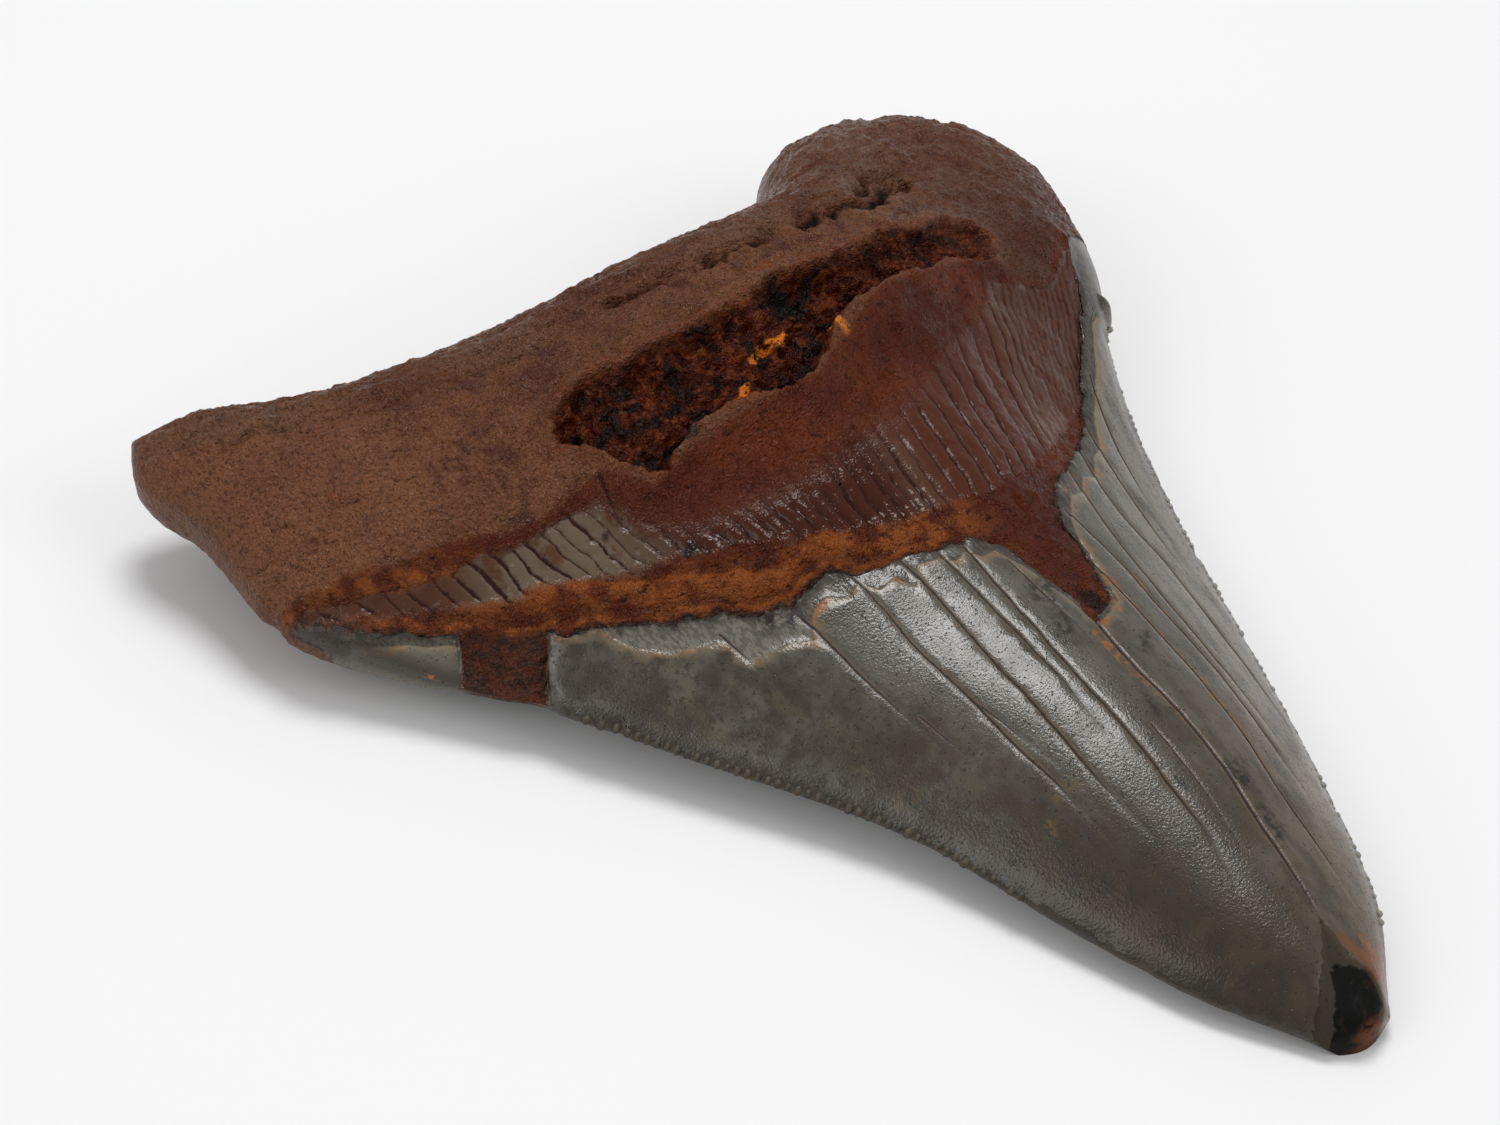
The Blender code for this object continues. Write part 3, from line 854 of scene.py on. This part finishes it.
def geometry_tree(name, inputs):
    """An empty tree, the outputs of its input node, and the identifier of each named input."""
    tree = bpy.data.node_groups.new(name, "GeometryNodeTree")
    names = {}
    inputs = [("Geometry", "Geometry", None)] + inputs + [("Material", "Material", None)]
    for label, kind, default in inputs:
        socket = tree.interface.new_socket(label, in_out="INPUT", socket_type="NodeSocket" + kind)
        if default is not None:
            socket.default_value = default
        names[label] = socket.identifier
    tree.interface.new_socket("Geometry", in_out="OUTPUT", socket_type="NodeSocketGeometry")
    return tree, tree.nodes.new("NodeGroupInput").outputs, names


def finish_tree(tree, shape, material):
    """Ends a tree with real, smooth geometry that wears its material."""
    real = add_node(tree, "GeometryNodeRealizeInstances", (0, shape)).outputs[0]
    smooth = add_node(tree, "GeometryNodeSetShadeSmooth", (0, real)).outputs[0]
    worn = add_node(tree, "GeometryNodeSetMaterial", ("Geometry", smooth), ("Material", material))
    add_node(tree, "NodeGroupOutput", (0, worn.outputs[0]))


# %% The grain tree
GRAIN_LIFT = 4.0  # millimetres for each unit of noise times grain


def grain_tree():
    sizes = [("Coarse Size", "Float", 1.5), ("Fine Size", "Float", 0.6), ("Fine Share", "Float", 0.8)]
    tree, given, names = geometry_tree("tooth_grain", sizes)
    grain_here = add_node(tree, "GeometryNodeInputNamedAttribute", ("Name", "grain"), data_type="FLOAT")
    normal = add_node(tree, "GeometryNodeInputNormal").outputs[0]
    place = add_node(tree, "GeometryNodeInputPosition").outputs[0]
    heights = []
    for size in ("Coarse Size", "Fine Size"):
        scale = maths(tree, "DIVIDE", 1 / MM, given[size])
        noise = add_node(tree, "ShaderNodeTexNoise", ("Vector", place), ("Scale", scale), ("Detail", 2.0))
        heights.append(maths(tree, "SUBTRACT", noise.outputs[0], 0.5))
    height = maths(tree, "MULTIPLY_ADD", heights[1], given["Fine Share"], heights[0])
    amount = maths(tree, "MULTIPLY", height, grain_here.outputs[0])
    metres = maths(tree, "MULTIPLY", amount, GRAIN_LIFT * MM)
    along = add_node(tree, "ShaderNodeVectorMath", (0, normal), ("Scale", metres), operation="SCALE")
    moved = add_node(
        tree, "GeometryNodeSetPosition", ("Geometry", given["Geometry"]), ("Offset", along.outputs[0])
    )
    finish_tree(tree, moved.outputs[0], given["Material"])
    return tree, names


def place_in_scene(name, data):
    piece = bpy.data.objects.new(name, data)
    bpy.context.scene.collection.objects.link(piece)
    return piece


def plain_mesh(piece, name):
    """The evaluated shape as a mesh of its own; the piece and its modifiers go."""
    bpy.context.view_layer.update()
    graph = bpy.context.evaluated_depsgraph_get()
    mesh = bpy.data.meshes.new_from_object(piece.evaluated_get(graph), depsgraph=graph)
    mesh.name = name
    bpy.data.objects.remove(piece)
    return mesh


# %% Grain, then thinning
TRIANGLES_WANTED = 172000
skin = bpy.data.materials.new("fossil_tooth")
rough = place_in_scene("tooth_rough", dense)
tree, names = grain_tree()
relief = rough.modifiers.new("grain", "NODES")
relief.node_group = tree
relief[names["Coarse Size"]] = 1.7
relief[names["Fine Size"]] = 0.60
relief[names["Fine Share"]] = 1.1
relief[names["Material"]] = skin
triangles_now = sum(len(face) - 2 for face in faces) + 2 * len(quads)
thin = rough.modifiers.new("thin", "DECIMATE")
thin.ratio = TRIANGLES_WANTED / triangles_now
thinned = plain_mesh(rough, "tooth")
print("thinned from", triangles_now, "to", len(thinned.polygons), "faces")

# %% [markdown]
# ## Serrations
#
# The cutting edges carry a row of small rounded teeth, about twelve to the centimetre. They repeat
# along a path, so a node tree sets one small bead at every step of the edge, turned along it and
# sunk into the blade, with a seeded change of size. Worn or bitten stretches have none.

# %% The serration tree
SERRATION_PITCH = 0.80
SERRATION_SIZE = (0.37, 0.66, 0.36)  # half-sizes along the edge, out of the blade, and through it
SERRATION_SINK = (0.46, 0.67)  # on the left and on the right edge
SERRATED_BELOW = (3.5, 22.0)  # y, on the left and on the right edge
UNWORN_BITE = 0.22


def serration_tree():
    tree, given, names = geometry_tree(
        "tooth_serrations",
        [
            ("Pitch", "Float", SERRATION_PITCH * MM),
            ("Size", "Vector", (1.0, 1.0, 1.0)),
            ("Unevenness", "Float", 0.25),
            ("Seed", "Int", 5),
        ],
    )
    path = add_node(tree, "GeometryNodeMeshToCurve", ("Mesh", given["Geometry"])).outputs[0]
    even = add_node(
        tree, "GeometryNodeResampleCurve", ("Curve", path), ("Length", given["Pitch"]), mode="LENGTH"
    )
    tangent = add_node(tree, "GeometryNodeInputTangent").outputs[0]
    turner = "FunctionNodeAlignRotationToVector"
    along = add_node(tree, turner, ("Vector", tangent), axis="X").outputs[0]
    upright = add_node(
        tree, turner, ("Rotation", along), ("Vector", (0.0, 0.0, 1.0)), axis="Z", pivot_axis="X"
    )
    bead = add_node(tree, "GeometryNodeMeshIcoSphere", ("Radius", MM), ("Subdivisions", 2))
    low = maths(tree, "SUBTRACT", 1.0, given["Unevenness"])
    high = maths(tree, "ADD", 1.0, given["Unevenness"])
    chance = add_node(
        tree, "FunctionNodeRandomValue", (2, low), (3, high), ("Seed", given["Seed"]), data_type="FLOAT"
    )
    sized = add_node(
        tree, "ShaderNodeVectorMath", (0, given["Size"]), ("Scale", chance.outputs[1]), operation="SCALE"
    )
    row = add_node(
        tree,
        "GeometryNodeInstanceOnPoints",
        ("Points", even.outputs[0]),
        ("Instance", bead.outputs["Mesh"]),
        ("Rotation", upright.outputs[0]),
        ("Scale", sized.outputs[0]),
    )
    finish_tree(tree, row.outputs[0], given["Material"])
    return tree, names


def cutting_edge(column, first_share, last_share):
    """The rim down one side as points in metres, drawn in by the sink of the serrations."""
    rows = slice(int(first_share * ROWS), int(last_share * ROWS), 2)
    inward = -1.0 if column else 1.0
    x = moved_x[rows, column] + inward * SERRATION_SINK[column]
    path = np.stack([x, Y[rows, column], lingual_z[rows, column] + 0.05], axis=1)
    keep = (bite[rows, column] < UNWORN_BITE) & (Y[rows, column] < SERRATED_BELOW[column])
    return (path - MIDDLE) * MM, keep


edge_points, edge_links = [], []
for column, first_share, last_share in ((0, 0.30, 0.80), (-1, 0.30, 0.93)):
    path, keep = cutting_edge(column, first_share, last_share)
    base = len(edge_points)
    edge_points += [tuple(p) for p in path]
    edge_links += [(base + i, base + i + 1) for i in range(len(path) - 1) if keep[i] and keep[i + 1]]
edge_mesh = bpy.data.meshes.new("cutting_edges")
edge_mesh.from_pydata(edge_points, edge_links, [])
print("cutting edge points:", len(edge_points))

# %% Setting the serrations
serrations = place_in_scene("tooth_serrations", edge_mesh)
beads = serrations.modifiers.new("beads", "NODES")
tree, names = serration_tree()
beads.node_group = tree
beads[names["Pitch"]] = SERRATION_PITCH * MM
beads[names["Size"]] = SERRATION_SIZE
beads[names["Unevenness"]] = 0.18
beads[names["Seed"]] = 5
beads[names["Material"]] = skin
bead_mesh = plain_mesh(serrations, "tooth_serrations")
print("serrations:", len(bead_mesh.polygons), "faces")

# %% Tooth and serrations as one mesh
thinned.materials.clear()
thinned.materials.append(skin)
tooth = place_in_scene("tooth_skin", thinned)
row = place_in_scene("serration_row", bead_mesh)
store(bead_mesh, "side", np.ones(len(bead_mesh.vertices)))
store(bead_mesh, "bead", np.ones(len(bead_mesh.vertices)))
with bpy.context.temp_override(active_object=tooth, selected_editable_objects=[tooth, row]):
    bpy.ops.object.join()
tooth.data.name = "tooth_skin"
print("triangles:", sum(len(face.vertices) - 2 for face in tooth.data.polygons))

# %% [markdown]
# ## Masks on the finished mesh
#
# The masks are worked out again at the places where the thinned mesh has its points, and kept on it
# as named attributes. The material reads them by name, so every colour stays on its own piece of
# relief from any side, and nothing depends on a flat projection.


# %% Keeping the masks
def read(mesh, name):
    values = np.zeros(len(mesh.vertices), np.float32)
    if name in mesh.attributes:
        mesh.attributes[name].data.foreach_get("value", values)
    return values


def points_of(mesh):
    values = np.empty(len(mesh.vertices) * 3, np.float32)
    mesh.vertices.foreach_get("co", values)
    return values.reshape(-1, 3).astype(float) / MM + MIDDLE


mesh = tooth.data
px, py, _ = points_of(mesh).T
upper_share = ease(0.25, 0.75, read(mesh, "side"))
bead_share = read(mesh, "bead")
top = lingual_masks(px, py)
low = labial_masks(px, py)
KEPT = (
    "outer lip stria band ribs gap rods veins hairlines spall spall_rim strip groove rusty seam "
    "break tip tip_rim tip_black lost ochre yellow smear stain rust ledge near_edge"
).split()
upper_here = np.maximum(upper_share, 1 - ease(-49.3, -47.8, py))
for name in KEPT:
    store(mesh, name, top[name] * upper_here * (1 - bead_share))
for name in ("enamel", "crack", "crack_halo"):
    store(mesh, name, np.maximum(top[name] * upper_share + low[name] * (1 - upper_share), 0))
for name, others in (("enamel", bead_share), ("outer", np.maximum(1 - upper_here, bead_share))):
    store(mesh, name, np.maximum(read(mesh, name), others))

# %% Masks that say only where on the tooth a point is
tip_side = np.maximum(1 - ease(-50.4, -49.6, py), ease(6.2, 7.0, px + 0.25 * (py + 49.0)))
cutting = np.full(px.shape, 4.0)
for edge_line in (LEFT_EDGE[3:], RIGHT_EDGE[3:]):
    rim_line = curve_through(edge_line, np.linspace(0, 1, 80))
    cutting = np.minimum(cutting, near_line(px, py, rim_line, 4.0))
PLACES = {
    "to_tip": 1 - ease(-48.0, 2.0, py),
    "near_left": 1 - ease(-11.0, -1.0, px + 0.42 * (py + 20.0)),
    "right_lobe": ease(20.0, 33.0, px) * (1 - ease(25.0, 38.0, py)),
    "tip_edge": tip_side * (1 - ease(-46.5, -44.0, py)),
    "far_left": 1 - ease(-33.0, -28.0, px),
    # The left fragment of enamel, painted lighter as painted light against the shade it lies in.
    "fragment_painted_light": 1 - ease(-34.5, -33.0, px),
    # The right flank, where the enamel is painted pale as a painted sheen of the pale room.
    "flank": ease(6.0, 20.0, px - 0.28 * (py + 20.0)),
    # Along the cutting edges, where the enamel is painted dark as painted shade between the serrations.
    "cutting": (1 - ease(0.30, 0.95, cutting)) * (1 - bead_share) * upper_share,
}
for name, values in PLACES.items():
    store(mesh, name, values)
print("masks kept:", len(mesh.attributes))

# %% [markdown]
# ## One set of colours for the whole tooth
#
# The tooth is one piece, so one set of colours covers it. It starts as brown bone and is painted
# over, coat by coat, wherever a mask says so: spalled bone, bourlette, enamel, then stains and
# cracks. Noise in object coordinates breaks every coat up, because no fossil colour is even. A
# picture wrapped round it could do this too, but masks stay sharp at any size.
# A few coats are painted light and shade: the pale right flank and its pale serrations are a painted sheen,
# the left fragment of enamel is lightened, and the cutting edges are darkened as painted shade.


# %% Tools for painting
def srgb(red, green, blue):
    channels = [c / 255 for c in (red, green, blue)]
    return tuple(c / 12.92 if c <= 0.04045 else ((c + 0.055) / 1.055) ** 2.4 for c in channels) + (1.0,)


skin.use_nodes = True
shade = skin.node_tree
shade.nodes.clear()
on_tooth = add_node(shade, "ShaderNodeTexCoord").outputs["Object"]


def kept(name):
    return add_node(shade, "ShaderNodeAttribute", attribute_name=name).outputs["Fac"]


def speckle(size_mm, detail=3.0, roughness=0.55, stretch=(1, 1, 1), offset=(0, 0, 0)):
    """Solid noise with lumps of the given size, between 0 and 1."""
    place = add_node(
        shade, "ShaderNodeMapping", ("Vector", on_tooth), ("Scale", stretch), ("Location", offset)
    )
    noise = add_node(
        shade,
        "ShaderNodeTexNoise",
        ("Vector", place.outputs[0]),
        ("Scale", 1 / (size_mm * MM)),
        ("Detail", detail),
        ("Roughness", roughness),
    )
    return noise.outputs["Fac"]


def step(value, low, high):
    """0 below low, 1 above high, or the other way round when low is the larger."""
    span = (("From Min", min(low, high)), ("From Max", max(low, high)))
    ends = (("To Min", float(low > high)), ("To Max", float(low < high)))
    node = add_node(
        shade, "ShaderNodeMapRange", *span, *ends, ("Value", value), interpolation_type="SMOOTHSTEP"
    )
    return node.outputs["Result"]


def both(*values):
    result = values[0]
    for value in values[1:]:
        result = maths(shade, "MULTIPLY", result, value)
    return result


def either(*values):
    result = values[0]
    for value in values[1:]:
        result = maths(shade, "MAXIMUM", result, value)
    return result


def blend(below, above, amount, kind="RGBA"):
    """Below where amount is 0, above where it is 1. A plain colour is (red, green, blue) up to 255."""
    node = add_node(shade, "ShaderNodeMix", data_type=kind)
    sockets = {s.name: s for s in node.inputs if s.enabled}
    for name, value in (("Factor", amount), ("A", below), ("B", above)):
        if isinstance(value, bpy.types.NodeSocket):
            shade.links.new(value, sockets[name])
        else:
            sockets[name].default_value = srgb(*value) if isinstance(value, tuple) else value
    return next(s for s in node.outputs if s.enabled)


def painted(base, *coats, kind="RGBA"):
    """The base with each (colour, amount) laid over it in turn."""
    for colour, amount in coats:
        base = blend(base, colour, amount, kind)
    return base


# %% Bone
cloud = speckle(9.0, 4.0)
lumps = speckle(2.2, 3.0, offset=(0.3, 0.1, 0))
pores = speckle(0.38, 2.0, 0.6)
dust = speckle(0.20, 1.0)
colour = painted(
    blend((102, 60, 31), (88, 46, 22), step(cloud, 0.40, 0.60)),
    ((64, 26, 10), both(kept("right_lobe"), 0.8)),
    ((74, 32, 13), step(lumps, 0.48, 0.68)),
    ((116, 74, 46), both(kept("far_left"), 0.5)),
    ((94, 60, 40), both(kept("strip"), step(cloud, 0.60, 0.42), 0.8)),
    ((56, 25, 11), both(step(pores, 0.52, 0.66), 0.6)),
    ((150, 108, 72), both(step(dust, 0.66, 0.78), 0.40)),
    ((116, 56, 18), both(kept("rust"), step(lumps, 0.42, 0.60), 0.7)),
    ((20, 11, 7), step(kept("groove"), 0.35, 0.95)),
)

# %% Spalled bone
crumbs = speckle(0.9, 4.0, 0.65, offset=(0.7, 0, 0.2))
raw = painted(
    blend((56, 13, 2), (108, 46, 10), step(crumbs, 0.44, 0.68)),
    ((20, 6, 2), step(lumps, 0.50, 0.62)),
    ((160, 116, 80), both(step(dust, 0.72, 0.84), step(crumbs, 0.50, 0.62), 0.5)),
)
colour = blend(colour, raw, kept("spall"))
colour = blend(colour, (104, 48, 14), both(kept("spall_rim"), step(lumps, 0.40, 0.58), 0.7))

# %% Bourlette
fine = speckle(0.8, 3.0, 0.6, offset=(0, 0.4, 0.1))
band = painted(
    blend((70, 24, 7), (88, 36, 10), step(cloud, 0.40, 0.58)),
    ((126, 66, 24), both(kept("near_edge"), step(lumps, 0.62, 0.40))),
    ((50, 16, 5), step(fine, 0.54, 0.72)),
    ((48, 18, 8), both(step(kept("ledge"), -0.35, -0.95), 0.5)),
)
plates = painted(
    blend((98, 84, 69), (80, 52, 33), step(lumps, 0.50, 0.66)),
    ((74, 38, 22), both(kept("far_left"), 0.9)),
    ((60, 24, 9), kept("rods")),
    ((72, 30, 11), kept("veins")),
    ((80, 42, 24), kept("hairlines")),
    ((44, 12, 4), step(kept("gap"), 0.12, 0.60)),
    ((110, 54, 18), both(kept("veins"), step(fine, 0.60, 0.72), 0.6)),
)
colour = blend(colour, band, kept("band"))
colour = blend(colour, plates, both(kept("ribs"), step(fine, 0.85, 0.60)))

# %% Enamel
streaks = speckle(1.6, 4.0, 0.6, stretch=(1.0, 0.22, 1.0))
pinholes = step(speckle(0.30, 1.0, 0.5, offset=(0.2, 0.6, 0)), 0.66, 0.73)
near_left, to_tip = kept("near_left"), kept("to_tip")
# Painted sheen: the right flank is painted pale grey, browner towards the tip, standing for the room's
# reflection at a grazing angle.
painted_flank_sheen = blend((120, 115, 106), (108, 92, 74), to_tip)
enamel = painted(
    blend((70, 66, 57), (85, 81, 72), step(streaks, 0.36, 0.64)),
    ((60, 55, 44), step(cloud, 0.50, 0.66)),
    ((48, 41, 27), both(near_left, step(lumps, 0.40, 0.62), 0.9)),
    ((80, 74, 50), both(near_left, step(streaks, 0.50, 0.66), 0.45)),
    ((42, 35, 26), both(near_left, step(fine, 0.52, 0.66), 0.6)),
    ((40, 31, 18), both(step(to_tip, 0.1, 0.8), near_left, 0.9)),
    ((60, 47, 29), both(to_tip, step(lumps, 0.40, 0.62), 0.8)),
    (painted_flank_sheen, both(kept("flank"), step(streaks, 0.30, 0.58), 0.75)),
    ((104, 82, 24), both(kept("yellow"), step(fine, 0.40, 0.60), 0.6)),
    # Painted light: the left fragment of enamel lightened.
    ((102, 97, 84), both(kept("fragment_painted_light"), 0.8)),
    ((40, 30, 22), both(pinholes, 0.6)),
)

# %% The layer under the enamel's skin, and the enamel's cracks
hatching = speckle(0.24, 1.0, 0.5, stretch=(1.0, 0.10, 1.0))
under_layer = blend((72, 66, 56), (50, 44, 36), step(hatching, 0.44, 0.58))
pale_layer = blend((108, 104, 94), (86, 82, 72), step(hatching, 0.42, 0.58))
whole = painted(
    blend(under_layer, pale_layer, kept("stria")),
    (enamel, kept("outer")),
    ((128, 112, 88), both(kept("lip"), 0.7)),
    ((140, 92, 44), both(kept("lip"), step(lumps, 0.50, 0.62), 0.5)),
    ((108, 78, 42), both(step(kept("crack_halo"), 0.55, 0.90), 0.45)),
    ((140, 84, 30), both(step(kept("rusty"), 0.15, 0.55), step(fine, 0.42, 0.58), 0.85)),
    ((22, 13, 8), step(kept("crack"), 0.22, 0.66)),
    ((34, 28, 22), both(kept("stain"), step(fine, 0.38, 0.58))),
    # Painted shade along the cutting edges, so that the gaps between the serrations look dark.
    ((36, 28, 17), both(kept("cutting"), 0.7)),
)
colour = blend(colour, whole, kept("enamel"))
colour = blend(colour, (28, 15, 11), both(kept("seam"), step(fine, 0.34, 0.56), 0.85))

# %% Damage and stains over everything
unevenly_black = maths(shade, "ADD", kept("tip_black"), both(maths(shade, "SUBTRACT", crumbs, 0.5), 1.5))
black = both(kept("tip"), step(unevenly_black, 0.30, 0.65))
flank = kept("flank")
colour = painted(
    colour,
    (blend((78, 40, 25), (50, 32, 25), step(crumbs, 0.40, 0.66)), kept("lost")),
    ((14, 12, 9), both(kept("smear"), 0.85)),
    ((56, 50, 39), kept("tip")),
    (blend((5, 4, 3), (30, 18, 10), step(fine, 0.54, 0.68)), black),
    ((116, 64, 26), both(kept("tip_edge"), step(fine, 0.36, 0.54), 0.85)),
    ((112, 62, 22), both(kept("tip_rim"), step(lumps, 0.40, 0.58), 0.7)),
    ((30, 12, 8), step(kept("break"), 0.25, 0.75)),
    ((206, 112, 20), both(kept("ochre"), step(fine, 0.40, 0.50))),
    # Serrations: dark brown away from the right flank, and painted pale on it as a painted sheen like the
    # flank's.
    (
        blend((70, 58, 38), (44, 38, 28), step(fine, 0.42, 0.58)),
        both(kept("bead"), step(flank, 0.9, 0.1), 0.9),
    ),
    ((150, 145, 134), both(kept("bead"), step(flank, 0.3, 0.8), 0.8)),
)

# %% Gloss
lined = either(kept("veins"), kept("hairlines"))
rough = painted(
    blend(0.36, 0.22, step(pores, 0.35, 0.7), "FLOAT"),
    (0.36, kept("spall")),
    (0.21, kept("band")),
    (0.15, kept("ribs")),
    (0.27, both(kept("ribs"), lined)),
    (blend(0.22, 0.29, step(lumps, 0.40, 0.66), "FLOAT"), kept("enamel")),
    (0.80, either(kept("crack"), kept("groove"))),
    (0.60, either(kept("tip"), kept("bead"))),
    kind="FLOAT",
)

# %% Relief too fine for the mesh
COARSE_BUMP_MM, FINE_BUMP_MM = 0.36, 0.20
smooth_skin = either(kept("enamel"), kept("ribs"), kept("tip"))
bumps = blend(pores, both(pores, 0.02), smooth_skin, "FLOAT")
bumps = maths(shade, "SUBTRACT", bumps, both(pinholes, kept("enamel"), 0.20))
coarse_bump = add_node(
    shade, "ShaderNodeBump", ("Distance", COARSE_BUMP_MM * MM), ("Strength", 1.0), ("Height", bumps)
)
fine_bump = add_node(
    shade,
    "ShaderNodeBump",
    ("Distance", FINE_BUMP_MM * MM),
    ("Strength", 1.0),
    ("Height", blend(dust, both(dust, 0.13), smooth_skin, "FLOAT")),
    ("Normal", coarse_bump.outputs[0]),
)
surface = add_node(
    shade,
    "ShaderNodeBsdfPrincipled",
    ("Base Color", colour),
    ("Roughness", rough),
    ("Specular IOR Level", 0.55),
    ("Normal", fine_bump.outputs[0]),
)
add_node(shade, "ShaderNodeOutputMaterial", ("Surface", surface.outputs[0]))
print("skin nodes:", len(shade.nodes))

# %% [markdown]
# ## Three finishes
#
# The skins share every colour but not their shine: enamel is glassy, bone and ribs are satin, and
# freshly spalled bone hardly reflects at all. So the same colours are copied to two duller
# finishes, and each face takes the finish of the skin it belongs to.

# %% Each face takes its finish
DULLER = {"fossil_bone": 0.24, "spalled_bone": 0.13}
mesh.materials.clear()
mesh.materials.append(skin)
for finish_name, shine in DULLER.items():
    finish = skin.copy()
    finish.name = finish_name
    finish.node_tree.nodes[surface.name].inputs["Specular IOR Level"].default_value = shine
    mesh.materials.append(finish)
corner_of = np.empty(len(mesh.loops), np.int32)
mesh.loops.foreach_get("vertex_index", corner_of)
first_corner = np.empty(len(mesh.polygons), np.int32)
mesh.polygons.foreach_get("loop_start", first_corner)


def on_faces(values):
    """The mean of a kept number over the corners of each face."""
    order = np.argsort(first_corner)
    starts = first_corner[order]
    counts = np.diff(np.r_[starts, len(corner_of)])
    means = np.empty(len(starts))
    means[order] = np.add.reduceat(values[corner_of], starts) / counts
    return means


shiny = on_faces(np.maximum(read(mesh, "enamel"), read(mesh, "bead")))
bare_band = read(mesh, "band") * (1 - read(mesh, "ribs"))
broken = [read(mesh, name) for name in ("spall", "lost", "tip", "groove")]
dull = on_faces(np.maximum.reduce([bare_band] + broken))
finish_of = np.where(dull > 0.5, 2, np.where(shiny > 0.5, 0, 1))
mesh.polygons.foreach_set("material_index", finish_of.astype(np.int32))
mesh.update()
print("faces of each finish:", np.bincount(finish_of))

# %% [markdown]
# ## Table, light and camera
#
# The tooth lies on a plain pale table in soft light from above and behind. One wide lamp gives the
# enamel its broad sheen, and the pale surroundings fill every shadow.

# %% Table
bpy.ops.mesh.primitive_plane_add(size=6.0, location=(0, 0, 0))
table = bpy.context.object
table.name = "table"
pale = bpy.data.materials.new("pale_table")
pale.use_nodes = True
table_shader = pale.node_tree.nodes["Principled BSDF"]
table_shader.inputs["Base Color"].default_value = srgb(238, 238, 239)
table_shader.inputs["Roughness"].default_value = 0.6
table.data.materials.append(pale)
print("table:", table.name)

# %% Light
surroundings = bpy.data.worlds.new("pale_room")
bpy.context.scene.world = surroundings
surroundings.use_nodes = True
room = surroundings.node_tree.nodes["Background"]
room.inputs["Color"].default_value = (1.0, 1.0, 1.0, 1.0)
room.inputs["Strength"].default_value = 0.45


def soft_lamp(name, place_m, aim_m, size_m, watts):
    data = bpy.data.lights.new(name, "AREA")
    data.shape = "DISK"
    data.size = size_m
    data.energy = watts
    lamp = bpy.data.objects.new(name, data)
    lamp.location = place_m
    lamp.rotation_euler = (Vector(aim_m) - Vector(place_m)).to_track_quat("-Z", "Y").to_euler()
    bpy.context.scene.collection.objects.link(lamp)
    return lamp


soft_lamp("overhead", (0.09, 0.17, 0.57), (0, -0.01, 0.01), 0.26, 1.85)
soft_lamp("front_right", (0.22, -0.42, 0.42), (0, 0, 0.01), 0.34, 0.60)
soft_lamp("left", (-0.55, 0.02, 0.34), (0, 0, 0.01), 0.40, 0.75)
print("lamps:", len(bpy.data.lights))

# %% Camera
azimuth, elevation, roll = math.radians(-39.7), math.radians(41.1), math.radians(5.8)
DISTANCE_M = 0.253
level = Vector((math.sin(azimuth), -math.cos(azimuth), 0))
back = level * math.cos(elevation) + Vector((0, 0, math.sin(elevation)))
right = Vector((math.cos(azimuth), math.sin(azimuth), 0))
up = back.cross(right)
turned_right = right * math.cos(roll) + up * math.sin(roll)
turned_up = up * math.cos(roll) - right * math.sin(roll)
lens = bpy.data.cameras.new("camera")
lens.sensor_width = 36.0
lens.lens = 76.8
lens.clip_start = 0.01
camera = bpy.data.objects.new("camera", lens)
bpy.context.scene.collection.objects.link(camera)
aim = Vector((-0.0076, 0.0089, 0.0072))
matrix = Matrix((turned_right, turned_up, back)).transposed().to_4x4()
matrix.translation = aim + back * DISTANCE_M
camera.matrix_world = matrix
bpy.context.scene.camera = camera
bpy.context.scene.view_settings.view_transform = "Standard"
print("camera stands at", tuple(round(value, 3) for value in matrix.translation), "metres")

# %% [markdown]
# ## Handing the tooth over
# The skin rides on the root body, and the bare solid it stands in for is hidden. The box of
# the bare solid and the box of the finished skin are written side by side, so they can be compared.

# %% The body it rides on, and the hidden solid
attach(tooth, "root")
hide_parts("tooth")
